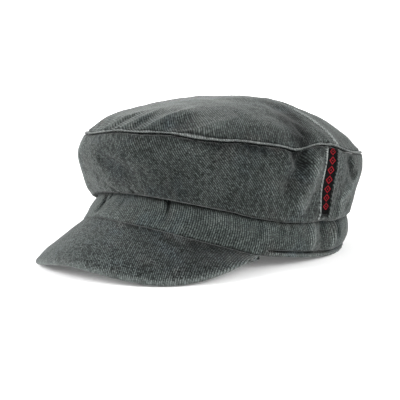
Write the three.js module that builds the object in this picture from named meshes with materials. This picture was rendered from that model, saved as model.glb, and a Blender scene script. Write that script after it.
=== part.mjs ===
import * as THREE from 'three';

// ---------------------------------------------------------------- main sizes, mm
const CLOTH = 1.8;            // crown and band cloth, two layers pressed together
const GAP = 0.35;             // clear space left between neighbouring pieces
const TILT_DEG = 8.625;       // front of the cap up, as it rests on visor and band
const LIFT = 12.9;            // raises the tilted cap on to z = 0
const MIDDLE = { x: 0.7, y: -5.15 }; // plan middle of the resting cap, moved to the origin
const REST_SNAP = 0.92;       // lower edges closer to the table than this lie flat on it
const SIDE_SEAM_DEG = 100.2;  // side seams, from the front towards either side
const VISOR_DEG = 68.8;       // visor's ends on the band
const CROSS_SEAM_BACK = 20.8; // the top's cross seam sits this far back at its ends
const CROSS_SEAM_BOW = 20;    // the smaller, the sharper it bends at the middle
const HEM_STRIP = 3.4;        // height of the turned strip at the band's lower edge
const HEM_PROUD = 0.5;        // and how far it stands out
const BAND_TUCK = 5.0;        // band cloth standing up behind the crown's lip
const VISOR_BOARD = 2.6;      // visor, cloth and board together
const VISOR_RIM = 4.3;        // its rolled rim
const LABEL = { from: 91.6, to: 97.8, low: 0.10, high: 0.955, thick: 0.8, proud: 0.25, sink: 1.05 };
// the label's edges in degrees: where they start, and how far they bow forward at mid height
const LABEL_BOW = { front: 92.5, frontBow: 2.9, rear: 97.6, rearBow: 1.7, low: 0.12, span: 0.86 };

// a row per level of the cap: half width, half length forwards and backwards,
// height at the front, at the sides and at the back
const LEVELS = {
  hem:  { b: 85.1, af: 105.5, ab: 103.4, zf: 6.6,  zs: -10.3, zb: 7.6 },
  bmid: { b: 88.4, af: 96.3,  ab: 109.5, zf: 16.6, zs: 4.0,   zb: 19.0 },
  btop: { b: 87.0, af: 90.1,  ab: 104.6, zf: 23.2, zs: 14.9,  zb: 30.1 },
  lip:  { b: 90.4, af: 93.2,  ab: 106.6, zf: 23.9, zs: 14.9,  zb: 31.6 },
  low:  { b: 93.6, af: 101.6, ab: 109.4, zf: 35.2, zs: 30.2,  zb: 44.6 },
  high: { b: 96.0, af: 110.2, ab: 115.7, zf: 52.6, zs: 52.8,  zb: 62.7 },
  seam: { b: 92.7, af: 106.0, ab: 116.6, zf: 65.6, zs: 65.0,  zb: 71.8 },
};
const WALL_AT = { lip: 0, low: 0.29, high: 0.73, seam: 1 };
const BAND_AT = { hem: 0, bmid: 0.45, btop: 1 };

// a row per ring of the flat top: share of the seam's radius, rise above the plane
// through the seam at the front, sides and back
const TOP_RINGS = [
  { k: 0.32, rf: 29.0, rs: 34.2, rb: 31.5 },
  { k: 0.62, rf: 20.8, rs: 26.0, rb: 24.6 },
  { k: 0.88, rf: 10.5, rs: 11.9, rb: 10.3 },
];
const TOP_RISE = 35.2;

// visor's outline: reach sideways and forwards, droop and the powers that round it
const VISOR = { xo: 14.64, fe: 97.25, zc: -26.36, q: 0.826, r: 0.488, m: 1.258, zq: -6.91, archUp: 0.6, archOut: 3.0, p: 1.6 };

// folds of the side wall: from (deg, share of height) to (deg, share), out is plus, reach
const WALL_FOLDS = [
  { a0: 76.5, t0: 0.97, a1: 78,   t1: 0.80, d: -3.2, w: 5.0 },
  { a0: 78,   t0: 0.80, a1: 73,   t1: 0.44, d: -3.0, w: 5.6 },
  { a0: 85.5, t0: 0.74, a1: 80,   t1: 0.22, d: 2.4,  w: 5.0 },
  { a0: 44,   t0: 0.90, a1: 66,   t1: 0.90, d: -1.0, w: 4.5 },
  { a0: 108,  t0: 0.84, a1: 112,  t1: 0.56, d: -2.8, w: 5.0 },
  { a0: 111,  t0: 0.48, a1: 105,  t1: 0.12, d: 2.2,  w: 5.0 },
  { a0: -4,   t0: 0.60, a1: 8,    t1: 0.42, d: -1.6, w: 7.0 },
  { a0: -24,  t0: 0.80, a1: -34,  t1: 0.20, d: 1.4,  w: 8.0 },
  { a0: 150,  t0: 0.85, a1: 142,  t1: 0.35, d: -1.8, w: 8.0 },
  { a0: -80,  t0: 0.92, a1: -74,  t1: 0.45, d: -2.2, w: 7.0 },
  { a0: -118, t0: 0.80, a1: -110, t1: 0.30, d: 1.8,  w: 8.0 },
  { a0: -160, t0: 0.75, a1: -168, t1: 0.25, d: -1.6, w: 8.0 },
];
// folds of the band, the same columns
const BAND_FOLDS = [
  { a0: -16, t0: 0.95, a1: -12, t1: 0.25, d: -1.6, w: 3.0 },
  { a0: 23,  t0: 0.95, a1: 25.5, t1: 0.30, d: -1.3, w: 3.0 },
  { a0: 97.5, t0: 0.90, a1: 98.5, t1: 0.25, d: -1.3, w: 4.5 },
  { a0: 104.5, t0: 0.90, a1: 105.5, t1: 0.30, d: 1.1, w: 4.5 },
  { a0: 111, t0: 0.95, a1: 111.5, t1: 0.30, d: -1.2, w: 4.5 },
  { a0: -104, t0: 0.90, a1: -101, t1: 0.30, d: -1.2, w: 5.0 },
  { a0: 170, t0: 0.90, a1: 176, t1: 0.30, d: -1.2, w: 6.0 },
];
// folds of the top, in plan: from (x, y) to (x, y), up is plus, reach
const TOP_FOLDS = [
  { x0: -14, y0: -104, x1: 1,  y1: -90, d: 1.4,  w: 4.5 },
  { x0: 11,  y0: -104, x1: 21, y1: -92, d: 1.2,  w: 4.0 },
  { x0: 2,   y0: -104, x1: 15, y1: -85, d: -1.2, w: 4.5 },
  { x0: 28,  y0: -98,  x1: 33, y1: -68, d: 2.0,  w: 6.0 },
  { x0: 49,  y0: -91,  x1: 59, y1: -66, d: 1.8,  w: 6.0 },
  { x0: 39,  y0: -88,  x1: 49, y1: -62, d: -1.6, w: 6.0 },
  { x0: 48,  y0: -6,   x1: 72, y1: 0,   d: -2.6, w: 8.0 },
  { x0: 72,  y0: 0,    x1: 88, y1: -14, d: -2.6, w: 7.0 },
  { x0: -60, y0: -20,  x1: -84, y1: -30, d: -2.2, w: 9.0 },
  { x0: -30, y0: 60,   x1: -44, y1: 88, d: -2.0, w: 9.0 },
  { x0: 34,  y0: 70,   x1: 46, y1: 92,  d: -1.8, w: 8.0 },
];
// waves of the top's seam line: where, how far up, reach in degrees
const SEAM_WAVES = [
  { a: 77.5, up: -1.9, w: 6 },
  { a: 91,  up: 2.6,  w: 9 },
  { a: -84, up: 1.6,  w: 10 },
  { a: 150, up: -1.4, w: 12 },
];
// the hem stands a little higher here
const HEM_WAVES = [{ a: 92, up: 1.3, w: 20 }, { a: -92, up: 1.3, w: 20 }];

const COLOR = { crown: '#41474a', band: '#454b4d', visor: '#3c4245', edge: '#4d5355', label: '#17181a' };

// ---------------------------------------------------------------- helpers
const rad = (d) => d * Math.PI / 180;
const lerp = (a, b, t) => a + (b - a) * t;
const KEYS = ['b', 'af', 'ab', 'zf', 'zs', 'zb'];

// smooth curve through the rows without overshoot
function curve(xs, ys) {
  const n = xs.length, h = [], s = [], m = new Array(n).fill(0);
  for (let i = 0; i < n - 1; i++) { h[i] = xs[i + 1] - xs[i]; s[i] = (ys[i + 1] - ys[i]) / h[i]; }
  for (let i = 1; i < n - 1; i++) {
    if (s[i - 1] * s[i] > 0) {
      const w1 = 2 * h[i] + h[i - 1], w2 = h[i] + 2 * h[i - 1];
      m[i] = (w1 + w2) / (w1 / s[i - 1] + w2 / s[i]);
    }
  }
  const end = (h0, h1, s0, s1) => {
    let d = ((2 * h0 + h1) * s0 - h0 * s1) / (h0 + h1);
    if (d * s0 <= 0) d = 0; else if (s0 * s1 <= 0 && Math.abs(d) > 3 * Math.abs(s0)) d = 3 * s0;
    return d;
  };
  if (n === 2) { m[0] = m[1] = s[0]; } else {
    m[0] = end(h[0], h[1], s[0], s[1]);
    m[n - 1] = end(h[n - 2], h[n - 3], s[n - 2], s[n - 3]);
  }
  return (x) => {
    let i = 0; while (i < n - 2 && x > xs[i + 1]) i++;
    const t = (x - xs[i]) / h[i], u = 1 - t;
    return ys[i] * (1 + 2 * t) * u * u + m[i] * h[i] * t * u * u + ys[i + 1] * (3 - 2 * t) * t * t - m[i + 1] * h[i] * t * t * u;
  };
}
function levelCurve(at) {
  const names = Object.keys(at), xs = names.map((n) => at[n]);
  const c = {}; for (const k of KEYS) c[k] = curve(xs, names.map((n) => LEVELS[n][k]));
  return (t) => { const r = {}; for (const k of KEYS) r[k] = c[k](t); return r; };
}
const wave = (rows, deg) => rows.reduce((s, r) => {
  const d = ((deg - r.a + 540) % 360) - 180; return s + r.up * Math.exp(-((d / r.w) ** 2));
}, 0);
function ringPoint(r, deg, up = 0) {
  const c = Math.cos(rad(deg)), s = Math.sin(rad(deg)), a = c > 0 ? r.af : r.ab;
  const z = (r.zf + r.zb + 2 * r.zs) / 4 + (r.zf - r.zb) / 2 * c + (r.zf + r.zb - 2 * r.zs) / 4 * Math.cos(2 * rad(deg));
  return new THREE.Vector3(r.b * s, -a * c, z + up);
}
const wallLevel = levelCurve(WALL_AT), bandLevel = levelCurve(BAND_AT);
const smooth = (x) => { const t = Math.min(1, Math.max(0, x)); return t * t * (3 - 2 * t); };
const wallPoint = (deg, t) => ringPoint(wallLevel(t), deg, wave(SEAM_WAVES, deg) * smooth((t - 0.45) / 0.55));
const bandPoint = (deg, t) => ringPoint(bandLevel(t), deg, wave(HEM_WAVES, deg) * (1 - t));

const S = LEVELS.seam, ZC = (S.zf + S.zb + 2 * S.zs) / 4;
const topRows = [{ k: 0, b: 0, af: 0, ab: 0, zf: ZC + TOP_RISE, zs: ZC + TOP_RISE, zb: ZC + TOP_RISE },
  ...TOP_RINGS.map((r) => ({ k: r.k, b: S.b * r.k, af: S.af * r.k, ab: S.ab * r.k,
    zf: S.zf * r.k + ZC * (1 - r.k) + r.rf, zs: S.zs * r.k + ZC * (1 - r.k) + r.rs, zb: S.zb * r.k + ZC * (1 - r.k) + r.rb })),
  { k: 1, ...S }];
const topCurves = {}; for (const key of KEYS) topCurves[key] = curve(topRows.map((r) => r.k), topRows.map((r) => r[key]));
function segment(px, py, x0, y0, x1, y1) {
  const dx = x1 - x0, dy = y1 - y0, t = Math.min(1, Math.max(0, ((px - x0) * dx + (py - y0) * dy) / (dx * dx + dy * dy)));
  return Math.hypot(px - x0 - dx * t, py - y0 - dy * t);
}
function topHeight(x, y) {
  const a = y < 0 ? S.af : S.ab, k = Math.min(1, Math.hypot(x / S.b, y / a)), deg = Math.atan2(x / S.b, -y / a) * 180 / Math.PI;
  const r = {}; for (const key of KEYS) r[key] = topCurves[key](k);
  let z = ringPoint(r, deg).z + wave(SEAM_WAVES, deg) * smooth((k - 0.7) / 0.3);
  for (const f of TOP_FOLDS) z += f.d * Math.exp(-((segment(x, y, f.x0, f.y0, f.x1, f.y1) / f.w) ** 2)) * Math.min(1, (1 - k) / 0.03);
  return z;
}
const foldOut = (rows, deg, t, height) => rows.reduce((s, f) => {
  const q = 1.83; return s + f.d * Math.exp(-((segment(deg * q, t * height, f.a0 * q, f.t0 * height, f.a1 * q, f.t1 * height) / f.w) ** 2));
}, 0);
function normalOf(point, a, t, da = 0.4, dt = 0.02) {
  const u = point(a + da, t).sub(point(a - da, t)), t0 = Math.max(0, t - dt), t1 = Math.min(1, t + dt);
  const v = point(a, t1).sub(point(a, t0));
  return u.cross(v).normalize();
}

// a closed sheet from two grids of points, outer and inner; loop joins the last column to the first
function sheet(name, outer, inner, loop, color, roughness = 0.95) {
  const n = outer.length, m = outer[0].length, pos = [], faces = [];
  const th = rad(TILT_DEG), c = Math.cos(th), s = Math.sin(th);
  const put = (p) => {
    let z = -p.y * s + p.z * c + LIFT; if (z < REST_SNAP) z = 0;
    pos.push(p.x - MIDDLE.x, p.y * c + p.z * s - MIDDLE.y, z);
  };
  outer.forEach((col) => col.forEach(put)); inner.forEach((col) => col.forEach(put));
  const O = (i, j) => (i % n) * m + j, I = (i, j) => n * m + (i % n) * m + j;
  const same = (a, b) => Math.hypot(pos[3 * a] - pos[3 * b], pos[3 * a + 1] - pos[3 * b + 1], pos[3 * a + 2] - pos[3 * b + 2]) < 2e-3;
  const tri = (a, b, d) => { if (!same(a, b) && !same(b, d) && !same(a, d)) faces.push(a, b, d); };
  const quad = (a, b, d, e) => { tri(a, b, d); tri(a, d, e); };
  const last = loop ? n : n - 1;
  for (let i = 0; i < last; i++) {
    for (let j = 0; j < m - 1; j++) {
      quad(O(i, j), O(i + 1, j), O(i + 1, j + 1), O(i, j + 1));
      quad(I(i, j), I(i, j + 1), I(i + 1, j + 1), I(i + 1, j));
    }
    quad(I(i, 0), I(i + 1, 0), O(i + 1, 0), O(i, 0));
    quad(O(i, m - 1), O(i + 1, m - 1), I(i + 1, m - 1), I(i, m - 1));
  }
  if (!loop) {
    for (let j = 0; j < m - 1; j++) {
      quad(I(0, j), O(0, j), O(0, j + 1), I(0, j + 1));
      quad(O(n - 1, j), I(n - 1, j), I(n - 1, j + 1), O(n - 1, j + 1));
    }
  }
  const g = new THREE.BufferGeometry();
  g.setAttribute('position', new THREE.Float32BufferAttribute(pos, 3)); g.setIndex(faces); g.computeVertexNormals();
  const mesh = new THREE.Mesh(g, new THREE.MeshStandardMaterial({ color, roughness, metalness: 0 }));
  mesh.name = name; return mesh;
}
const range = (a, b, n) => Array.from({ length: n + 1 }, (_, i) => a + (b - a) * i / n);
const sorted = (list, keep = 0.25) => { list.sort((p, q) => p - q); return list.filter((v, i) => i === 0 || v - list[i - 1] > keep); };

// ---------------------------------------------------------------- side wall of the crown
const WALL_T = [0.02, 0.12, 0.26, 0.42, 0.60, 0.78, 0.92, 1];
// the label's front and rear edge at this height, and a wall column near the label leaning with them
function labelEdges(t) {
  const b = Math.sin(Math.PI * Math.min(1, Math.max(0, (t - LABEL_BOW.low) / LABEL_BOW.span)));
  return [LABEL_BOW.front - LABEL_BOW.frontBow * b, LABEL_BOW.rear - LABEL_BOW.rearBow * b];
}
function leaning(deg, t) {
  if (deg < 84 || deg > SIDE_SEAM_DEG) return deg;
  const [l, r] = labelEdges(t), m = smooth((deg - LABEL.from) / (LABEL.to - LABEL.from));
  return deg + lerp(l - LABEL.from, r - LABEL.to, m) * smooth((deg - 84) / 5) * smooth((SIDE_SEAM_DEG - deg) / 2);
}
function wallSheet(name, columns) {
  const outer = [], inner = [];
  for (const column of columns) {
    let deg = column;
    const o = [], q = [], inLabel = deg > LABEL.from - 0.2 && deg < LABEL.to + 0.2;
    // the rolled lip over the band
    const lip = wallPoint(deg, 0), bt = bandPoint(deg, 1), out = normalOf(wallPoint, deg, 0.1);
    const flat = new THREE.Vector3(out.x, out.y, 0).normalize();
    const bandOut = bt.clone().addScaledVector(flat, GAP + 0.1 + Math.max(0, foldOut(BAND_FOLDS, deg, 1, 24)));
    o.push(lip.clone().addScaledVector(flat, -1.2).add(new THREE.Vector3(0, 0, -0.5)));
    q.push(new THREE.Vector3(bandOut.x, bandOut.y, lip.z - 0.1));
    for (const t of WALL_T) {
      deg = t < 0.05 || t === 1 ? column : leaning(column, t);
      const p = wallPoint(deg, t), n = normalOf(wallPoint, deg, t);
      let d = foldOut(WALL_FOLDS, deg, t, 46) * Math.min(1, t / 0.12) * Math.min(1, (1.02 - t) / 0.08);
      if (inLabel && t > LABEL.low - 0.03) d -= LABEL.sink;
      const thick = t < 0.05 ? 2.2 : CLOTH;
      if (t === 1) p.z -= GAP;
      o.push(p.clone().addScaledVector(n, d));
      const back = p.clone().addScaledVector(n, d - thick);
      if (t < 0.05) { back.x = bandOut.x; back.y = bandOut.y; back.z = lip.z + 1.6; }
      q.push(back);
    }
    outer.push(o); inner.push(q);
  }
  return sheet(name, outer, inner, false, COLOR.crown);
}
const S1 = SIDE_SEAM_DEG - 0.1, S2 = SIDE_SEAM_DEG + 0.12;
const frontCols = sorted([...range(-S1, S1, 38), 72, 74, 76.2, 78.4, 80.4, 83, 86.5, 89.5, 91, LABEL.from - 0.25, LABEL.from - 0.15, LABEL.to + 0.15, LABEL.to + 0.25, 99], 0.08)
  .filter((v) => !(v > LABEL.from && v < LABEL.to) || Math.abs(v - 94.7) < 2);
const rearCols = sorted([...range(S2, 360 - S2, 38), 102.5, 106, 109, 112], 0.8);

// ---------------------------------------------------------------- flat top
const crossSeam = (x) => {
  const reach = S.b * Math.sin(rad(SIDE_SEAM_DEG));
  return CROSS_SEAM_BACK * ((x * x + CROSS_SEAM_BOW ** 2) / (reach ** 2 + CROSS_SEAM_BOW ** 2)) ** 0.55;
};
const TOP_V = [0, 0.10, 0.28, 0.48, 0.66, 0.80, 0.90, 0.965, 1];
function topSheet(name, front) {
  const span = front ? SIDE_SEAM_DEG : 180 - SIDE_SEAM_DEG, outer = [], inner = [];
  const reach = S.b * Math.sin(rad(SIDE_SEAM_DEG));
  for (const u of range(-1, 1, front ? 36 : 30)) {
    const deg = front ? u * span : 180 - u * span;
    const xs = reach * Math.sin(u * Math.PI / 2), ys = crossSeam(xs) + (front ? -GAP / 2 : GAP / 2);
    const rim = ringPoint(S, deg), flat = new THREE.Vector2(rim.x, rim.y).normalize();
    if (Math.abs(u) > 0.999) rim.y += front ? -GAP / 2 : GAP / 2;
    const o = [], q = [];
    for (const v of TOP_V) {
      const x = lerp(xs, rim.x, v), y = lerp(ys, rim.y, v);
      if (v === 1) {
        const z = ringPoint(S, deg).z + wave(SEAM_WAVES, deg);
        o.push(new THREE.Vector3(x + flat.x * 0.5, y + flat.y * 0.5, z + 1.5));
        q.push(new THREE.Vector3(x + flat.x * 0.3, y + flat.y * 0.3, z + 0.05));
        continue;
      }
      const e = 0.5, z = topHeight(x, y);
      const n = new THREE.Vector3((topHeight(x - e, y) - topHeight(x + e, y)) / (2 * e), (topHeight(x, y - e) - topHeight(x, y + e)) / (2 * e), 1).normalize();
      const a = Math.atan2(x / S.b, -y / (y < 0 ? S.af : S.ab)) * 180 / Math.PI, r = ringPoint(S, a);
      const inset = Math.hypot(r.x - x, r.y - y);
      let low = z + 0.2 - Math.min(2.6, CLOTH / n.z);
      if (inset < 4) low = Math.max(low, r.z + wave(SEAM_WAVES, a) + 0.05);
      o.push(new THREE.Vector3(x, y, Math.max(z + (inset < 4 ? 0.5 : 0.2), low + 1.1)));
      q.push(new THREE.Vector3(x, y, low));
    }
    outer.push(o); inner.push(q);
  }
  // both ends of the cross seam: the column closes up on the rim
  for (const i of [0, outer.length - 1]) {
    const m = TOP_V.length - 1;
    for (let j = 0; j < m; j++) { outer[i][j] = outer[i][m].clone(); inner[i][j] = inner[i][m].clone(); }
  }
  if (front) { outer.reverse(); inner.reverse(); }
  return sheet(name, outer, inner, false, COLOR.crown);
}

// ---------------------------------------------------------------- headband
const BAND_T = [0, 0.2, 0.42, 0.64, 0.85, 1];
// share of the band's height at which its cloth is this far above the hem
function bandShare(deg, up) {
  const base = bandPoint(deg, 0).z; let a = 0, b = 1;
  for (let i = 0; i < 24; i++) { const c = (a + b) / 2; if (bandPoint(deg, c).z - base < up) a = c; else b = c; }
  return (a + b) / 2;
}
const overVisor = (deg) => Math.abs(((deg + 540) % 360) - 180) < VISOR_DEG + 0.25;
function headband() {
  const edge = [VISOR_DEG + 0.15, VISOR_DEG + 0.45];
  const cols = sorted([...range(-180, 174, 57), ...edge, ...edge.map((v) => -v), -15, -12.5, 23.5, 25, 97.8, 101.3, 104.8, 108, 111.2, 115], 0.12);
  const outer = [], inner = [];
  for (const deg of cols) {
    const o = [], q = [];
    const start = overVisor(deg) ? 0 : bandShare(deg, HEM_STRIP + GAP);
    for (const s of BAND_T) {
      const t = lerp(start, 1, s), p = bandPoint(deg, t), n = normalOf(bandPoint, deg, t);
      const d = foldOut(BAND_FOLDS, deg, t, 24);
      const back = p.clone().addScaledVector(n, d - CLOTH), face = p.clone().addScaledVector(n, d);
      if (s === 0) { // the lower edge is cut level
        n.z = 0; n.normalize(); face.z = p.z; back.copy(face).addScaledVector(n, -1.25 * CLOTH);
      }
      o.push(face); q.push(back);
    }
    const top = bandPoint(deg, 1), n = normalOf(bandPoint, deg, 1); n.z = 0; n.normalize();
    const d = foldOut(BAND_FOLDS, deg, 1, 24);
    top.z += BAND_TUCK;
    o.push(top.clone().addScaledVector(n, d - 0.2)); q.push(top.clone().addScaledVector(n, d - 0.2 - CLOTH));
    outer.push(o); inner.push(q);
  }
  return sheet('headband', outer, inner, true, COLOR.band);
}
function hemEdge() {
  const outer = [], inner = [];
  for (const deg of range(VISOR_DEG + 0.9, 360 - VISOR_DEG - 0.9, 46)) {
    const lo = bandPoint(deg, 0), n = normalOf(bandPoint, deg, 0.05);
    n.z = 0; n.normalize();
    const o = [], q = [];
    for (const [up, proud] of [[0, 0], [HEM_STRIP * 0.3, HEM_PROUD], [HEM_STRIP * 0.75, HEM_PROUD], [HEM_STRIP, 0.1]]) {
      const p = bandPoint(deg, bandShare(deg, up)); p.z = lo.z + up;
      o.push(p.clone().addScaledVector(n, proud)); q.push(p.clone().addScaledVector(n, -CLOTH - 0.1));
    }
    outer.push(o); inner.push(q);
  }
  return sheet('hem_edge', outer, inner, false, COLOR.edge);
}

// ---------------------------------------------------------------- visor
const hemEnd = ringPoint(LEVELS.hem, VISOR_DEG);
function visorEdge(tau) {
  const c = Math.max(0, Math.cos(rad(tau))), s = Math.sin(rad(tau)), s2 = Math.sin(2 * rad(tau)), v = VISOR;
  return new THREE.Vector3(hemEnd.x * Math.sign(s) * Math.abs(s) ** v.m + v.xo * s2, hemEnd.y - v.fe * c ** v.q,
    hemEnd.z + (v.zc - hemEnd.z) * c ** v.r + v.zq * s2 * s2);
}
function visorTop(tau, w) {
  const h = bandPoint(VISOR_DEG * tau / 90, 0), e = visorEdge(tau), c = Math.sqrt(Math.max(0, Math.cos(rad(tau))));
  h.z -= GAP + 0.1; e.z += VISOR_BOARD * 0.8;
  const flat = new THREE.Vector3(e.x - h.x, e.y - h.y, 0).normalize(), p = Math.max(0, w) ** VISOR.p, bump = 4 * p * (1 - p) * c;
  return h.lerp(e, w).addScaledVector(flat, bump * VISOR.archOut).add(new THREE.Vector3(0, 0, bump * VISOR.archUp));
}
function visor() {
  const outer = [], inner = [];
  // along the depth: share, extra above, thickness
  const rows = [[0, 0, VISOR_BOARD], [0.12, 0, VISOR_BOARD], [0.3, 0, VISOR_BOARD], [0.48, 0, VISOR_BOARD], [0.66, 0, VISOR_BOARD],
    [0.82, 0, VISOR_BOARD], [0.90, 0.1, VISOR_BOARD + 0.1], [0.955, 0.4, VISOR_RIM], [1, -0.5, VISOR_RIM - 1.9]];
  for (const tau of [-88, ...range(-85, 85, 32), 88]) {
    const o = [], q = [];
    const root = visorTop(tau, 0), flat = new THREE.Vector3(root.x, root.y, 0).normalize();
    root.addScaledVector(flat, -1.5);
    o.push(root.clone()); q.push(root.clone().add(new THREE.Vector3(0, 0, -VISOR_BOARD)));
    for (const [w, up, thick] of rows) {
      const p = visorTop(tau, w), a = visorTop(tau + 0.5, w).sub(visorTop(tau - 0.5, w));
      const b = visorTop(tau, Math.min(1, w + 0.05)).sub(visorTop(tau, Math.max(0, w - 0.05)));
      const n = b.cross(a).normalize(); if (n.z < 0) n.negate();
      const soft = w < 0.1 ? 0.3 : 1; n.x *= soft; n.y *= soft; n.normalize();
      const slim = Math.min(1, 0.55 + (88 - Math.abs(tau)) / 12);
      o.push(p.clone().addScaledVector(n, up)); q.push(p.clone().addScaledVector(n, up - thick * slim));
    }
    outer.push(o); inner.push(q);
  }
  return sheet('visor', outer.reverse(), inner.reverse(), false, COLOR.visor);
}

// ---------------------------------------------------------------- label
function label() {
  const outer = [], inner = [];
  for (const u of range(0, 1, 4)) {
    const o = [], q = [];
    for (const t of [LABEL.low, ...WALL_T.filter((v) => v > LABEL.low && v < LABEL.high), LABEL.high]) {
      const [l, r] = labelEdges(t), deg = lerp(l, r, u), p = wallPoint(deg, t), n = normalOf(wallPoint, deg, t);
      const d = foldOut(WALL_FOLDS, deg, t, 46) * Math.min(1, t / 0.12) * Math.min(1, (1.02 - t) / 0.08);
      o.push(p.clone().addScaledVector(n, d + LABEL.proud)); q.push(p.clone().addScaledVector(n, d + LABEL.proud - LABEL.thick));
    }
    outer.push(o); inner.push(q);
  }
  return sheet('label', outer, inner, false, COLOR.label, 0.8);
}

const cap = new THREE.Group();
cap.name = 'cadet_cap';
cap.add(wallSheet('crown_side_front', frontCols), wallSheet('crown_side_rear', rearCols), topSheet('crown_top_front', true),
  topSheet('crown_top_rear', false), headband(), hemEdge(), visor(), label());
export default cap;
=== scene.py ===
import math

import bpy
import numpy as np
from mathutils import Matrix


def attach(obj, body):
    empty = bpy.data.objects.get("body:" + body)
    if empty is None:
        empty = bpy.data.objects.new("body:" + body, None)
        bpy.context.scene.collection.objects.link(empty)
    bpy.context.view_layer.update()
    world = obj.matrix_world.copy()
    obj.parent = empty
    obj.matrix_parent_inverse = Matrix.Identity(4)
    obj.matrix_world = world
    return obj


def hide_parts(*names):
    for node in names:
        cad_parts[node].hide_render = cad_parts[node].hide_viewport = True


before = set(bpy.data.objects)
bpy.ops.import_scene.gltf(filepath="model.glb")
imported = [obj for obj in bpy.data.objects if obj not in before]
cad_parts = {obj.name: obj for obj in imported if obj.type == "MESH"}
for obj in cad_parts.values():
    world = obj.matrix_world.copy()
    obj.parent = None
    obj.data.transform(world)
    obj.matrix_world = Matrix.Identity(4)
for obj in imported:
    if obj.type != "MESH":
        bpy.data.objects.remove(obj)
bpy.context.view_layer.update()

MM = 0.001
SIDE = 400  # the picture is square

# ------------------------------------------------------------------ camera
CAM_AT = np.array([479.04, -495.99, 121.88])
CAM_RIGHT = np.array([0.71325045, 0.70048738, -0.02431509])
CAM_UP = np.array([-0.06717918, 0.10285194, 0.99242553])
CAM_BACK = np.array([0.69768242, -0.70621449, 0.12041736])
FOCAL_PX = 948.64


def camera():
    data = bpy.data.cameras.new("view")
    data.sensor_fit = "HORIZONTAL"
    data.sensor_width = 36.0
    data.lens = FOCAL_PX * 36.0 / SIDE
    data.clip_start, data.clip_end = 0.05, 50.0
    cam = bpy.data.objects.new("view", data)
    bpy.context.scene.collection.objects.link(cam)
    from mathutils import Matrix
    r, u, b, p = CAM_RIGHT, CAM_UP, CAM_BACK, CAM_AT * MM
    cam.matrix_world = Matrix(((r[0], u[0], b[0], p[0]), (r[1], u[1], b[1], p[1]), (r[2], u[2], b[2], p[2]), (0, 0, 0, 1)))
    bpy.context.scene.camera = cam


camera()

# ------------------------------------------------------------------ the cap's sizes, mm, as in the CAD part
CLOTH = 1.8
TILT = math.radians(8.625)
LIFT = 12.9
MIDDLE = (0.7, -5.15)
SIDE_SEAM = 100.2
VISOR_DEG = 68.8
CROSS_BACK = 20.8
CROSS_BOW = 20.0
HEM_STRIP = 2.75
LABEL_FROM, LABEL_TO, LABEL_LOW, LABEL_HIGH = 91.6, 97.8, 0.10, 0.955
BOARD = 2.6
GROOVE = 1.35
KEYS = ("b", "af", "ab", "zf", "zs", "zb")
LEVELS = {
    "hem": (85.1, 105.5, 103.4, 6.6, -10.3, 7.6),
    "bmid": (88.4, 96.3, 109.5, 16.6, 4.0, 19.0),
    "btop": (87.0, 90.1, 104.6, 23.2, 14.9, 30.1),
    "lip": (90.4, 93.2, 106.6, 23.9, 14.9, 31.6),
    "low": (93.6, 101.6, 109.4, 35.2, 30.2, 44.6),
    "high": (96.0, 110.2, 115.7, 52.6, 52.8, 62.7),
    "seam": (92.7, 106.0, 116.6, 65.6, 65.0, 71.8),
}
# share of the seam's radius, rise at front, sides, back
TOP_RINGS = ((0.32, 29.0, 34.2, 31.5), (0.62, 20.8, 26.0, 24.6), (0.88, 10.5, 11.9, 10.3))
TOP_RISE = 35.2
VIS = dict(xo=14.64, fe=97.25, zc=-26.36, q=0.826, r=0.488, m=1.258, zq=-6.91, up=0.6, out=3.0, p=1.6)

# folds: from (deg, share of height) to (deg, share), out is plus, reach in mm
WALL_FOLDS = (
    (76.5, 0.97, 78, 0.80, -3.2, 5.0),
    (78, 0.80, 73, 0.44, -3.0, 5.6),
    (85.5, 0.74, 80, 0.22, 2.4, 5.0),
    (44, 0.90, 66, 0.90, -1.0, 4.5),
    (108, 0.84, 112, 0.56, -2.8, 5.0),
    (111, 0.48, 105, 0.12, 2.2, 5.0),
    (-4, 0.60, 8, 0.42, -1.6, 7.0),
    (-24, 0.80, -34, 0.20, 1.4, 8.0),
    (150, 0.85, 142, 0.35, -1.8, 8.0),
    (-80, 0.92, -74, 0.45, -2.2, 7.0),
    (-118, 0.80, -110, 0.30, 1.8, 8.0),
    (-160, 0.75, -168, 0.25, -1.6, 8.0),
)
BAND_FOLDS = (
    (-16, 0.95, -12, 0.25, -1.6, 3.0),
    (23, 0.95, 25.5, 0.30, -1.3, 3.0),
    (97.5, 0.90, 98.5, 0.25, -1.3, 4.5),
    (104.5, 0.90, 105.5, 0.30, 1.1, 4.5),
    (111, 0.95, 111.5, 0.30, -1.2, 4.5),
    (-104, 0.90, -101, 0.30, -1.2, 5.0),
    (170, 0.90, 176, 0.30, -1.2, 6.0),
)
SEAM_WAVES = ((77.5, -1.9, 6), (91, 2.6, 9), (-84, 1.6, 10), (150, -1.4, 12))
HEM_WAVES = ((92, 1.3, 20), (-92, 1.3, 20))
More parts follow.
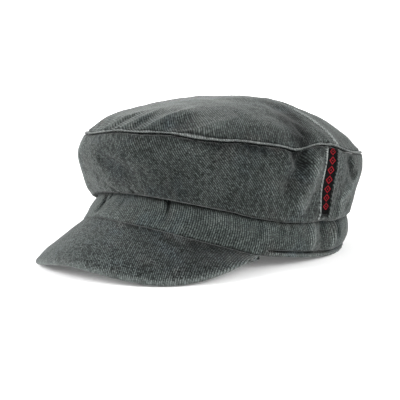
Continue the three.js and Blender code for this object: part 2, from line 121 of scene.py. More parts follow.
# small ups and downs on top of these: (deg, mm)
SEAM_SHIFT = ((-180, 0), (-120, 0.3), (-80, -0.3), (-50, 0), (-31, -0.6), (-25, -1.4), (-21, -2.3), (-16, -2.1), (-10, -1.8), (-4, -1.2), (2, -0.5), (8, -0.6), (14, -0.8),
              (20, -0.3), (26, 0.1), (32, -0.7), (38, -1.7), (44, -1.8), (48, -1.6), (52, -0.9), (56, -0.7), (60, -1.0), (66, -1.1), (72, -1.2), (75, -1.3), (77.5, -0.5),
              (80, 0.4), (84, 0.6), (89, 0.4), (92, 0.1), (95, 0.9), (99, 0.9), (102, 0.6), (105, 0), (108, -0.5), (112, -1.0), (118, -1.0), (126, -0.6), (140, 0), (180, 0))
LIP_SHIFT = ((-180, 0), (-60, 0.3), (-30, 0), (50, 0), (54, -0.5), (58, -0.9), (68, -1.1), (74, -1.2), (80, -0.8), (86, -0.5), (89, 0), (92, 0.3), (95.5, 0.9), (98, 0.7), (101, 0), (110, 0.3), (122, 0), (180, 0))
HEM_SHIFT = ((-180, 0), (-42, 0), (-30, 0.9), (-20, 1.6), (-10, 1.7), (-4, 1.1), (2, 0.5), (8, 0.1), (14, 0), (50, 0), (58, -0.2), (62, -0.6), (66, -0.9), (70, -0.7), (76, -0.3), (84, 0), (180, 0))

# folds traced as lines; each point is (place, place, out or up in mm, reach in mm)
# of the top, in plan (x, y)
TOP_LINES = (
    ((-16, -105, 0.6, 4.5), (-8, -97, 1.0, 4.5), (2, -88, 0, 6)),
    ((3, -105, 0.6, 3.5), (11, -98, 1.0, 4), (15, -88, 0, 6)),
    ((-8, -104, -0.5, 3), (0, -96, -0.7, 3.5), (5, -87, 0, 4)),
    ((11, -104, -0.8, 4), (17, -94, -1.1, 4.5), (19, -84, 0, 6)),
    ((26, -101, 0.8, 4.5), (31, -91, 1.6, 5), (34, -78, 1.5, 6.5), (31, -62, 0, 8)),
    ((49, -92, 1.0, 5), (55, -82, 1.7, 5.5), (60, -69, 1.3, 7), (58, -52, 0, 9)),
    ((36, -94, -1.0, 5), (41, -82, -1.6, 6), (46, -67, -0.8, 7), (45, -55, 0, 8)),
    ((38, -8, 0, 8), (52, -5, -2.2, 8), (72, -2, -2.8, 8), (82, -8, -2.8, 7.5), (89, -15, -2.0, 6)),
    ((50, -16, 0, 9), (66, -20, -1.6, 10), (80, -16, -2.2, 9), (88, -18, -1.0, 6)),
    ((-50, -16, 0, 9), (-62, -20, -2.0, 9), (-82, -29, -2.2, 9)),
    ((-26, 52, 0, 9), (-34, 68, -1.8, 9), (-44, 88, -2.0, 8)),
    ((30, 60, 0, 8), (37, 76, -1.8, 8), (46, 92, -1.6, 7)),
)
TOP_CREASES = (
    ((-18, -104, 0.3, 1.1), (-13, -103, 0.9, 1.3), (-6, -100, 1.2, 1.4), (0, -93, 1.1, 1.6), (3, -88, 0.7, 1.9), (5, -81, 0, 2.4)),
    ((2, -105, 0.3, 1.1), (6, -103.5, 0.9, 1.3), (10.5, -98.5, 1.2, 1.4), (14, -92, 1.1, 1.7), (14, -84, 0.7, 2.1), (12, -75, 0, 2.6)),
    ((22.5, -102, 0.3, 1.2), (26.5, -97, 1.1, 1.5), (31, -91, 1.5, 1.8), (34, -80, 1.3, 2.3), (31, -67, 0.8, 3), (27, -55, 0, 3.5)),
    ((45, -95, 0.3, 1.4), (49, -90, 0.9, 1.7), (54, -83, 1.3, 2.2), (59.5, -71, 1.2, 2.8), (60.5, -60, 0.7, 3.4), (58, -48, 0, 4)),
    ((31, -99, -0.3, 2.4), (35, -92, -0.6, 3), (40, -81, -0.4, 3.5), (42, -70, 0, 4)),
    ((13, -102, -0.4, 2), (18, -95, -0.7, 2.4), (21, -86, 0, 3)),
    ((-6, -102, -0.3, 1.6), (2, -95, -0.5, 1.8), (6, -87, 0, 2.4)),
    ((64, -10, 0, 4), (74, -9, -0.8, 3), (84, -9, -0.9, 2.2), (89, -20, -0.6, 2)),
    ((-30, -98, 0, 1.5), (-36, -90, 0.7, 1.8), (-40, -78, 0, 2.4)),
    ((-58, -80, 0.3, 1.6), (-60, -70, 0.8, 2.0), (-58, -58, 0, 3)),
    ((-8, 112, 0.3, 1.6), (-6, 100, 0.7, 2.2), (-10, 86, 0, 3)),
    ((60, 84, 0.3, 1.6), (56, 72, 0.7, 2.2), (50, 60, 0, 3)),
)
# painted light and shade of the top, lighter and darker zones: from (x, y) to (x, y), how much, reach in mm
TOP_PAINTED_LIGHT_AND_SHADE = (
    (56, 0, 76, -12, -0.50, 8.0),
    (70, -14, 86, -18, -0.45, 6.5),
    (50, 6, 58, -4, -0.25, 9.0),
    (40, -60, 78, -45, -0.12, 16.0),
    (37, -96, 46, -84, -0.25, 5.0),
    (60, -40, 70, -52, 0.06, 9.0),
    (62, 4, 84, -16, -0.18, 13.0),
    (-16, -98, 8, -88, 0.12, 12.0),
    (66, 28, 86, 32, -0.26, 16.0),
)
# of the wall and the band (deg, share of height)
WALL_CREASES = (
    ((47, 1.0, -1.2, 1.7), (46.3, 0.92, -1.4, 1.9), (45.5, 0.82, 0, 2)),
    ((37.5, 1.0, -1.2, 1.8), (37, 0.94, -1.2, 1.9), (36.5, 0.86, 0, 2)),
    ((41, 1.0, -0.7, 1.5), (40.5, 0.93, -0.7, 1.6), (40, 0.86, 0, 2)),
    ((54, 1.0, -1.3, 1.7), (56.5, 0.94, -1.5, 1.8), (59, 0.83, 0, 2)),
    ((61, 1.0, -0.9, 1.7), (62.4, 0.90, -1.3, 2.0), (64, 0.78, 0, 2.2)),
    ((67, 0.62, 0, 3), (71, 0.68, 0.5, 3.2), (75.2, 0.74, 0.7, 2.8), (76, 0.78, 0, 2.4)),
    ((79.8, 1.0, -1.0, 2.6), (78.9, 0.90, -1.3, 2.6), (78.9, 0.74, -0.9, 2.4), (77, 0.62, -0.5, 2.2), (74.5, 0.48, 0, 2.2)),
    ((117, 0.66, 0.5, 1.8), (114.5, 0.54, 2.1, 1.7), (109, 0.45, 2.2, 1.6), (106, 0.37, 2.0, 1.6), (103, 0.28, 1.4, 1.7), (104.5, 0.12, 0.6, 2), (105, 0.05, 0, 2)),
    ((114.5, 0.34, 0, 1.7), (114.5, 0.26, 1.2, 1.8), (114, 0.16, 1.2, 1.8), (113, 0.08, 0, 1.8)),
    ((110, 0.92, 0.6, 2), (111.5, 0.80, 1.2, 2.2), (111.5, 0.70, 0.6, 2.2), (111, 0.62, 0, 2)),
    ((106.5, 0.86, 0, 2.6), (106, 0.76, -0.7, 2.8), (105, 0.64, -0.8, 2.8), (103.5, 0.5, 0, 2.6)),
    ((112.5, 0.5, -0.6, 2.6), (109, 0.34, -1.5, 3), (109.5, 0.24, -1.2, 3), (112, 0.14, 0, 3)),
    ((-7, 0.14, 0, 2), (-5, 0.06, -0.9, 2.3), (-4, 0.0, -0.6, 2.3)),
    ((5, 0.14, 0, 2), (7, 0.06, -0.7, 2.2), (8, 0.0, -0.5, 2.2)),
    ((71.5, 1.0, 0.5, 2), (72, 0.92, 0.6, 2), (73, 0.86, 0, 2)),
    ((-22, 0.80, 0, 1.8), (-25, 0.62, 0.5, 2.0), (-27, 0.40, 0.4, 2.2), (-28, 0.25, 0, 2.4)),
    ((-8, 0.74, 0, 1.6), (-6, 0.60, -0.4, 1.8), (-8, 0.46, 0, 1.8)),
    ((-58, 1.0, -0.7, 1.8), (-56, 0.90, -0.8, 2), (-54, 0.80, 0, 2.4)),
    ((-132, 1.0, -0.7, 1.8), (-134, 0.88, -0.8, 2), (-137, 0.74, 0, 2.6)),
    ((160, 1.0, -0.7, 1.8), (157, 0.88, -0.8, 2), (153, 0.74, 0, 2.6)),
)
# painted light along the crests and painted shade along the valleys of the wall's creases: (deg, share of height, how
# much, reach in mm)
WALL_PAINTED_LIGHT_AND_SHADE_LINES = (
    ((117, 0.66, 0.30, 1.0), (114.5, 0.54, 0.50, 1.0), (109, 0.45, 0.50, 1.0), (106, 0.37, 0.45, 1.0), (103, 0.28, 0.25, 1.1), (102, 0.2, 0, 1.2)),
    ((119, 0.60, 0, 2.4), (114, 0.46, -0.30, 2.4), (109.5, 0.36, -0.35, 2.2), (107, 0.26, 0, 2.2)),
    ((88.5, 0.92, -0.20, 4.0), (87.5, 0.60, -0.28, 4.0), (87.0, 0.30, -0.20, 4.0), (88, 0.1, 0, 4)),
    ((86.6, 0.80, 0, 2), (84.6, 0.60, 0.22, 2.0), (81.6, 0.38, 0.28, 2.0), (78.5, 0.20, 0, 2.2)),
    ((83, 0.98, 0, 3.5), (82, 0.80, -0.22, 3.5), (80.5, 0.58, -0.30, 3.5), (78.5, 0.40, -0.26, 3.2), (76, 0.22, 0, 3)),
    ((85.5, 0.34, -0.22, 3), (84.5, 0.20, -0.22, 3), (84, 0.08, 0, 3)),
)
BAND_CREASES = (
    ((-17.5, 1.0, -1.6, 1.5), (-15.4, 0.80, -2.2, 1.9), (-13.6, 0.55, -1.6, 1.6), (-11.8, 0.34, 0, 1.4)),
    ((-13.4, 1.0, 0.5, 1.1), (-12.4, 0.7, 0.6, 1.1), (-11.4, 0.5, 0, 1.1)),
    ((-10.6, 1.0, -1.4, 1.2), (-10.1, 0.75, -1.3, 1.3), (-9.4, 0.55, 0, 1.2)),
    ((-0.5, 1.0, -0.5, 1.8), (1, 0.6, -0.7, 1.8), (2.5, 0.3, 0, 1.6)),
    ((22.4, 1.0, -1.6, 1.3), (23.4, 0.75, -1.8, 1.3), (24.6, 0.5, -0.8, 1.1), (25, 0.38, 0, 1)),
    ((20.6, 0.96, 0.5, 1.1), (21.4, 0.66, 0.7, 1.2), (24, 0.38, 0.5, 1.3), (27, 0.18, 0, 1.4)),
    ((89.6, 1.0, 1.2, 2.6), (90.4, 0.7, 2.0, 3.0), (91.2, 0.3, 1.6, 3.0), (91.8, 0.1, 0, 3.2)),
    ((104, 0.95, 1.4, 2.2), (104.8, 0.7, 2.1, 2.4), (105.8, 0.35, 1.4, 2.4), (106.5, 0.15, 0, 2.6)),
    ((97.0, 1.0, -1.2, 3), (97.6, 0.6, -1.8, 4), (98, 0.3, 0, 4)),
    ((110.6, 1.0, -1.4, 2.4), (111.3, 0.6, -1.9, 2.8), (111.8, 0.3, 0, 3)),
    ((62, 1.0, -0.5, 2), (63.5, 0.6, -0.6, 2.4), (65, 0.3, 0, 2.4)),
    ((67.5, 1.0, 0.3, 2.2), (68, 0.7, 0.4, 2.2), (68.5, 0.35, 0, 2.4)),
    ((72.8, 1.0, -0.6, 2.2), (73.4, 0.6, -0.6, 2.6), (74, 0.3, 0, 2.6)),
    ((77.5, 1.0, -0.6, 2), (77.8, 0.7, -0.6, 2.2), (78, 0.4, 0, 2.2)),
    ((86, 1.0, -0.4, 2.4), (86.6, 0.6, -0.5, 2.6), (87, 0.2, 0, 2.6)),
    ((122, 1.0, 0.4, 3), (121.6, 0.7, 0.8, 3), (121, 0.2, 0, 3.5)),
    ((45, 1.0, 0.2, 3), (45.5, 0.7, 0.4, 3), (46, 0.3, 0, 3)),
    ((36, 1.0, -0.2, 3), (36.5, 0.7, -0.4, 3), (37, 0.3, 0, 3)),
    ((-52, 1.0, -0.8, 2), (-50, 0.6, -0.9, 2.2), (-49, 0.3, 0, 2.4)),
    ((-112, 1.0, 0.5, 3), (-110, 0.6, 1.0, 3.2), (-109, 0.2, 0, 3)),
    ((150, 1.0, -0.8, 2.4), (151, 0.6, -0.9, 2.8), (152, 0.2, 0, 3)),
)

# ------------------------------------------------------------------ curves and surfaces, in arrays


def curve(xs, ys):
    xs, ys = np.asarray(xs, float), np.asarray(ys, float)
    n = len(xs)
    h = np.diff(xs)
    s = np.diff(ys) / h
    m = np.zeros(n)
    for i in range(1, n - 1):
        if s[i - 1] * s[i] > 0:
            w1, w2 = 2 * h[i] + h[i - 1], h[i] + 2 * h[i - 1]
            m[i] = (w1 + w2) / (w1 / s[i - 1] + w2 / s[i])

    def end(h0, h1, s0, s1):
        d = ((2 * h0 + h1) * s0 - h0 * s1) / (h0 + h1)
        if d * s0 <= 0:
            return 0.0
        if s0 * s1 <= 0 and abs(d) > 3 * abs(s0):
            return 3 * s0
        return d

    m[0], m[-1] = end(h[0], h[1], s[0], s[1]), end(h[-1], h[-2], s[-1], s[-2])

    def at(x):
        x = np.asarray(x, float)
        i = np.clip(np.searchsorted(xs, x, side="right") - 1, 0, n - 2)
        t = (x - xs[i]) / h[i]
        u = 1 - t
        return ys[i] * (1 + 2 * t) * u * u + m[i] * h[i] * t * u * u + ys[i + 1] * (3 - 2 * t) * t * t - m[i + 1] * h[i] * t * t * u

    return at


def level_curve(names, at):
    cs = [curve(at, [LEVELS[n][k] for n in names]) for k in range(6)]
    return lambda t: [c(t) for c in cs]


wall_level = level_curve(("lip", "low", "high", "seam"), (0, 0.29, 0.73, 1))
band_level = level_curve(("hem", "bmid", "btop"), (0, 0.45, 1))


def around(deg):
    return (np.asarray(deg, float) + 180) % 360 - 180


def smooth(x):
    t = np.clip(x, 0, 1)
    return t * t * (3 - 2 * t)


def wave(rows, deg):
    z = 0.0
    for a, up, w in rows:
        d = (deg - a + 540) % 360 - 180
        z = z + up * np.exp(-((d / w) ** 2))
    return z


def eased(rows):
    c = curve([r[0] for r in rows], [r[1] for r in rows])
    return lambda deg: c(around(deg))


def seam_up(deg):
    return wave(SEAM_WAVES, deg) + seam_shift(deg)


def ring_z(r, deg):
    a = np.radians(deg)
    return (r[3] + r[5] + 2 * r[4]) / 4 + (r[3] - r[5]) / 2 * np.cos(a) + (r[3] + r[5] - 2 * r[4]) / 4 * np.cos(2 * a)


def ring(r, deg, up=0.0):
    a = np.radians(deg)
    c, s = np.cos(a), np.sin(a)
    length = np.where(c > 0, r[1], r[2])
    return np.stack(np.broadcast_arrays(r[0] * s, -length * c, ring_z(r, deg) + up), -1)


seam_shift, lip_shift, hem_shift = eased(SEAM_SHIFT), eased(LIP_SHIFT), eased(HEM_SHIFT)


def wall(deg, t):
    return ring(wall_level(t), deg, wave(SEAM_WAVES, deg) * smooth((t - 0.45) / 0.55) + seam_shift(deg) * smooth((t - 0.6) / 0.4) + lip_shift(deg) * smooth((0.5 - t) / 0.5))


def band(deg, t):
    return ring(band_level(t), deg, (wave(HEM_WAVES, deg) + hem_shift(deg)) * (1 - t) + lip_shift(deg) * t)


S = LEVELS["seam"]
ZC = (S[3] + S[5] + 2 * S[4]) / 4
_top = [(0, 0, 0, ZC + TOP_RISE, ZC + TOP_RISE, ZC + TOP_RISE)]
for k, rf, rs, rb in TOP_RINGS:
    _top.append((S[0] * k, S[1] * k, S[2] * k, S[3] * k + ZC * (1 - k) + rf, S[4] * k + ZC * (1 - k) + rs, S[5] * k + ZC * (1 - k) + rb))
_top.append(S)
top_level = [curve((0, 0.32, 0.62, 0.88, 1), [row[i] for row in _top]) for i in range(6)]


def near(px, py, x0, y0, x1, y1):
    dx, dy = x1 - x0, y1 - y0
    t = np.clip(((px - x0) * dx + (py - y0) * dy) / (dx * dx + dy * dy), 0, 1)
    return np.hypot(px - x0 - dx * t, py - y0 - dy * t)


def folds(rows, deg, t, height):
    q, out = 1.83, 0.0
    d = np.asarray(deg, float)
    for a0, t0, a1, t1, depth, w in rows:
        mid = (a0 + a1) / 2
        dd = mid + around(d - mid)
        out = out + depth * np.exp(-((near(dd * q, t * height, a0 * q, t0 * height, a1 * q, t1 * height) / w) ** 2))
    return out


def traced(rows, px, py, qx=1.0, qy=1.0):
    """folds along traced lines, at positions px, py whose scales to mm are qx, qy"""
    out = 0.0
    for row in rows:
        best, val = np.full(np.shape(px), 1e9), np.zeros(np.shape(px))
        mid = sum(pt[0] for pt in row) / len(row)
        ax = (mid + around(px - mid)) * qx if qx != 1.0 else px
        ay = py * qy
        for (x0, y0, d0, w0), (x1, y1, d1, w1) in zip(row, row[1:]):
            dx, dy = (x1 - x0) * qx, (y1 - y0) * qy
            t = np.clip(((ax - x0 * qx) * dx + (ay - y0 * qy) * dy) / (dx * dx + dy * dy), 0, 1)
            r = np.hypot(ax - x0 * qx - dx * t, ay - y0 * qy - dy * t)
            f = (d0 + (d1 - d0) * t) * np.exp(-((r / (w0 + (w1 - w0) * t)) ** 2))
            val = np.where(r < best, f, val)
            best = np.minimum(best, r)
        out = out + val
    return out


def top_k(x, y):
    a = np.where(y < 0, S[1], S[2])
    return np.minimum(1, np.hypot(x / S[0], y / a)), np.degrees(np.arctan2(x / S[0], -y / a))


def top_height(x, y, fine=True):
    k, deg = top_k(x, y)
    r = [c(k) for c in top_level]
    z = ring_z(r, deg) + wave(SEAM_WAVES, deg) * smooth((k - 0.7) / 0.3) + seam_shift(deg) * smooth((k - 0.86) / 0.14)
    f = traced(TOP_LINES, x, y)
    if fine:
        f = f + traced(TOP_CREASES, x, y)
    return z + f * np.minimum(1, (1 - k) / 0.03)


def normals(f, a, t, da=0.3, dt=0.01):
    u = f(a + da, t) - f(a - da, t)
    v = f(a, np.minimum(1, t + dt)) - f(a, np.maximum(0, t - dt))
    n = np.cross(u, v)
    return n / np.linalg.norm(n, axis=-1, keepdims=True)


def level(n):
    m = n.copy()
    m[..., 2] = 0
    return m / np.linalg.norm(m, axis=-1, keepdims=True)


def ripple(p, length, seed, count=26):
    """soft seeded unevenness, about -1 to 1, with this wavelength in mm"""
    rng = np.random.RandomState(seed)
    out = np.zeros(p.shape[:-1])
    for _ in range(count):
        d = rng.normal(size=3)
        d /= np.linalg.norm(d)
        k = 2 * np.pi / (length * rng.uniform(0.75, 1.4))
        out += np.cos(p @ (d * k) + rng.uniform(0, 2 * np.pi))
    return out / math.sqrt(count) * 0.8


def place(p):
    c, s = math.cos(TILT), math.sin(TILT)
    x, y, z = p[..., 0] - MIDDLE[0], p[..., 1] * c + p[..., 2] * s - MIDDLE[1], -p[..., 1] * s + p[..., 2] * c + LIFT
    return np.stack([x, y, np.maximum(z, 0.02)], -1)


# ------------------------------------------------------------------ meshes


FAR = 30.0


def nearest(*ds):
    """the one of these signed distances that is the smallest in size"""
    out = ds[0]
    for d in ds[1:]:
        out = np.where(np.abs(d) < np.abs(out), d, out)
    return out


def sheet(name, outer, inner, cloth_out, cloth_in, body="root", flip=False, seams=None):
    """closed sheet from two grids of points with cloth coordinates (u mm, v mm, wear and painted light and shade) at
    every point, and seam coordinates (mm along, mm from the light stitched line, mm from the painted shadow line)"""
    if seams is None:
        seams = np.full(outer.shape, FAR)
    if flip:
        outer, inner, cloth_out, cloth_in, seams = outer[::-1], inner[::-1], cloth_out[::-1], cloth_in[::-1], seams[::-1]
    n, m = outer.shape[:2]
    pts = place(np.concatenate([outer.reshape(-1, 3), inner.reshape(-1, 3)])) * MM
    idx = np.arange(n * m).reshape(n, m)
    o, q = idx, idx + n * m
    def quads(a, b, c, d):
        return np.stack([a.ravel(), b.ravel(), c.ravel(), d.ravel()], -1)
    f = [quads(o[:-1, :-1], o[1:, :-1], o[1:, 1:], o[:-1, 1:]), quads(q[:-1, :-1], q[:-1, 1:], q[1:, 1:], q[1:, :-1]),
         quads(q[:-1, 0], q[1:, 0], o[1:, 0], o[:-1, 0]), quads(o[:-1, -1], o[1:, -1], q[1:, -1], q[:-1, -1]),
         quads(q[0, :-1], o[0, :-1], o[0, 1:], q[0, 1:]), quads(o[-1, :-1], q[-1, :-1], q[-1, 1:], o[-1, 1:])]
    f = np.concatenate(f)
    me = bpy.data.meshes.new(name)
    me.vertices.add(len(pts))
    me.vertices.foreach_set("co", pts.astype(np.float32).ravel())
    me.loops.add(len(f) * 4)
    me.loops.foreach_set("vertex_index", f.astype(np.int32).ravel())
    me.polygons.add(len(f))
    me.polygons.foreach_set("loop_start", np.arange(0, len(f) * 4, 4, dtype=np.int32))
    me.polygons.foreach_set("loop_total", np.full(len(f), 4, dtype=np.int32))
    me.polygons.foreach_set("use_smooth", np.ones(len(f), dtype=bool))
    me.update(calc_edges=True)
    at = me.attributes.new("cloth", "FLOAT_VECTOR", "POINT")
    at.data.foreach_set("vector", np.concatenate([cloth_out.reshape(-1, 3), cloth_in.reshape(-1, 3)]).astype(np.float32).ravel())
    at = me.attributes.new("seams", "FLOAT_VECTOR", "POINT")
    at.data.foreach_set("vector", np.concatenate([seams.reshape(-1, 3), np.full(seams.size, FAR).reshape(-1, 3)]).astype(np.float32).ravel())
    import bmesh
    bm = bmesh.new()
    bm.from_mesh(me)
    bmesh.ops.remove_doubles(bm, verts=bm.verts, dist=2e-6)
    bmesh.ops.dissolve_degenerate(bm, edges=bm.edges, dist=1e-6)
    bm.to_mesh(me)
    bm.free()
    me.validate()
    ob = bpy.data.objects.new(name, me)
    bpy.context.scene.collection.objects.link(ob)
    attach(ob, body)
    return ob


def grid(a, b):
    return np.meshgrid(np.asarray(a, float), np.asarray(b, float), indexing="ij")


def merged(*parts, gap=0.02):
    v = np.unique(np.concatenate([np.atleast_1d(np.asarray(p, float)) for p in parts]))
    return v[np.concatenate([[True], np.diff(v) > gap])]


def coords(u, v, w):
    return np.stack(np.broadcast_arrays(u, v, w), -1)


WALL_H = 46.0


def wall_relief(deg, t, p, part_seams):
    """how far the wall's cloth stands out, the broad part of it, and its wear with painted light and shade"""
    h, s = t * WALL_H, (1 - t) * WALL_H
    broad = folds(WALL_FOLDS, deg, t, WALL_H) * np.minimum(1, t / 0.12) * np.minimum(1, (1.02 - t) / 0.08)
    calm = smooth(h / 6) * smooth(s / 5)
    off_label = smooth((np.abs(around(deg - 94.0)) - 4.4) / 3)
    uneven = 0.30 * ripple(p, 30, 3) + 0.14 * ripple(p, 13, 4) + 0.06 * ripple(p, 6, 5)
    broad = broad + uneven * (0.25 + 0.75 * calm) * (0.25 + 0.75 * off_label)
    fine = traced(WALL_CREASES, deg, t, 1.83, WALL_H)
    arc = deg * 1.83
    puck = np.cos(2 * np.pi * arc / 8.5 + 2.2 * np.sin(arc / 17.0)) * 0.28 * np.exp(-s / 4.0) * off_label
    puck = puck + np.cos(2 * np.pi * arc / 11.0 + 2.0 * np.sin(arc / 23.0) + 1.0) * 0.25 * np.exp(-h / 4.0)
    round_lip = np.where(h < 2.4, -(2.4 - np.sqrt(np.maximum(0, 2.4 ** 2 - (2.4 - h) ** 2))), 0)
    tuck = -(1.3 + 0.9 * smooth((deg + 5) / 25)) * np.clip(1 - s / 2.2, 0, 1) ** 1.7
    d = broad + fine + puck + round_lip + tuck
    f = np.clip((broad + 1.4 * fine) / 2.2, -1, 1)
    shade = smooth((deg + 5) / 30) * smooth((92 - deg) / 6) + (np.abs(deg) > 100) * 0.6
    # painted light and shade with some wear: fold crests painted lighter and hollows darker; painted shade along the
    # lip's bottom edge, under the top seam, and below it at the front right and the back; a painted light line just
    # above the lip; the front left painted lighter where the light falls; light and shade along the traced creases;
    # worn joints at the side seams
    wear_and_shading = np.where(f > 0, 0.42, 0.62) * f - 0.75 * np.exp(-((h / 1.2) ** 2)) + 0.10 * np.exp(-(((h - 2.6) / 1.2) ** 2)) - 0.9 * np.exp(-(s / 1.5) ** 2) - 0.5 * shade * np.exp(-(((s - 1.0) / 2.8) ** 2))
    wear_and_shading = wear_and_shading + 0.10 * smooth((16 - deg) / 30) * smooth((deg + 60) / 20) + traced(WALL_PAINTED_LIGHT_AND_SHADE_LINES, deg, t, 1.83, WALL_H)
    for a in part_seams:
        sd = np.abs(around(deg - a)) * 2.0
        much = 1.0 if a < 0 else 0.12
        d = d - much * (0.9 * np.exp(-((sd / 0.7) ** 2)) - 0.4 * np.exp(-(((sd - 2.0) / 1.2) ** 2)))
        wear_and_shading = wear_and_shading - much * (0.5 * np.exp(-((sd / 0.6) ** 2)) - 0.6 * np.exp(-(((sd - 1.6) / 0.9) ** 2)))
    return d, broad, wear_and_shading


def tape_edges(t):
    """the tape's front and rear edge in degrees; it bows forward at mid height"""
    bow = np.sin(np.pi * np.clip((t - 0.12) / 0.86, 0, 1))
    return 92.5 - 2.9 * bow, 97.6 - 1.7 * bow


def wall_piece(name, a0, a1, step, has_label):
    t = merged(np.linspace(0, 0.07, 9), np.linspace(0.07, 0.95, 52), np.linspace(0.95, 1, 8), gap=0.002)
    extra = []
    if has_label:
        for e in (LABEL_FROM - 0.2, LABEL_TO + 0.2):
            extra += [e - 1.2, e - 1.0, e - 0.8, e - 0.65, e - 0.5, e - 0.35, e - 0.2, e - 0.08, e, e + 0.08, e + 0.2, e + 0.35, e + 0.5, e + 0.65, e + 0.8]
    a = merged(np.arange(a0, a1, step), [a0 + 0.1, a0 + 0.25, a0 + 0.6, a1 - 0.6, a1 - 0.25, a1 - 0.1, a1], extra, gap=0.05)
    A, T = grid(a, t)
    if has_label:
        l0, r0 = tape_edges(T)
        lean = np.where(A < 94.7, l0 - LABEL_FROM, r0 - LABEL_TO)
        mid = smooth((A - LABEL_FROM) / (LABEL_TO - LABEL_FROM))
        lean = (l0 - LABEL_FROM) * (1 - mid) + (r0 - LABEL_TO) * mid
        A = A + lean * smooth((A - 84.0) / 5.0) * smooth((SIDE_SEAM - A) / 2.0)
    P = wall(A, T)
    N = normals(wall, A, T)
    d, broad, wear_and_shading = wall_relief(A, T, P, (-SIDE_SEAM, SIDE_SEAM))
    if has_label:
        # the cloth's edges beside the tape stand up a little and are lighter; A0 is the angle before the bow
        l0, r0 = tape_edges(T)
        inside = smooth((A - (l0 - 0.30)) / 0.16) * smooth(((r0 + 0.30) - A) / 0.16) * smooth((T - (LABEL_LOW - 0.05)) / 0.015)
        left, right = (A - (l0 - 0.22)) * 2.0, (A - (r0 + 0.22)) * 2.0
        along = smooth((T - 0.02) / 0.06)
        d = d + along * (0.75 * np.exp(-(((left + 0.9) / 0.7) ** 2)) + 0.45 * np.exp(-(((right - 0.8) / 0.65) ** 2)) - 0.35 * np.exp(-(((left + 2.3) / 0.7) ** 2)))
        # a light stitched line beside the tape's front edge, and a painted shadow line in the dip beyond it
        seams = coords(T * WALL_H, np.where(T > 0.03, (left + 0.9) * 0.85, FAR), np.where(T > 0.03, (left + 2.4) * 0.9, FAR))
        wear_and_shading = wear_and_shading + along * (0.45 * np.exp(-(((right - 0.8) / 0.6) ** 2)))
        d = d - 1.25 * inside
        wear_and_shading = wear_and_shading * (1 - inside) - 0.9 * inside
    outer = P + N * d[..., None]
    inner = P + N * (broad - CLOTH)[..., None]
    # the bottom edge turns in to the band
    bt = band(A[:, 0], np.ones(len(a)))
    bn = level(normals(band, A[:, 0], np.ones(len(a))))
    at_band = bt + bn * (0.45 + np.maximum(0, folds(BAND_FOLDS, A[:, 0], 1.0, 24.0)))[..., None]
    lip = wall(A[:, 0], np.zeros(len(a)))
    for j in range(5):
        inner[:, j, :2] = at_band[:, :2]
        inner[:, j, 2] = lip[:, 2] + 0.5 + 0.75 * j
    rows = t < 0.16
    for j in np.flatnonzero(rows):
        if j >= 5:
            w = smooth((t[j] - t[4]) / (0.16 - t[4]))
            inner[:, j] = inner[:, j] * w + np.concatenate([at_band[:, :2], (lip[:, 2] + 3.5 + (t[j] - t[4]) * WALL_H * 0.8)[:, None]], 1) * (1 - w)
    arc = A * 1.83
    # the inside of the wall is painted darker as shade
    return sheet(name, outer, inner, coords(arc, T * WALL_H, wear_and_shading), coords(arc, T * WALL_H, -0.3), seams=seams if has_label else None)


def cross(x):
    reach = S[0] * math.sin(math.radians(SIDE_SEAM))
    return CROSS_BACK * ((x * x + CROSS_BOW ** 2) / (reach ** 2 + CROSS_BOW ** 2)) ** 0.55


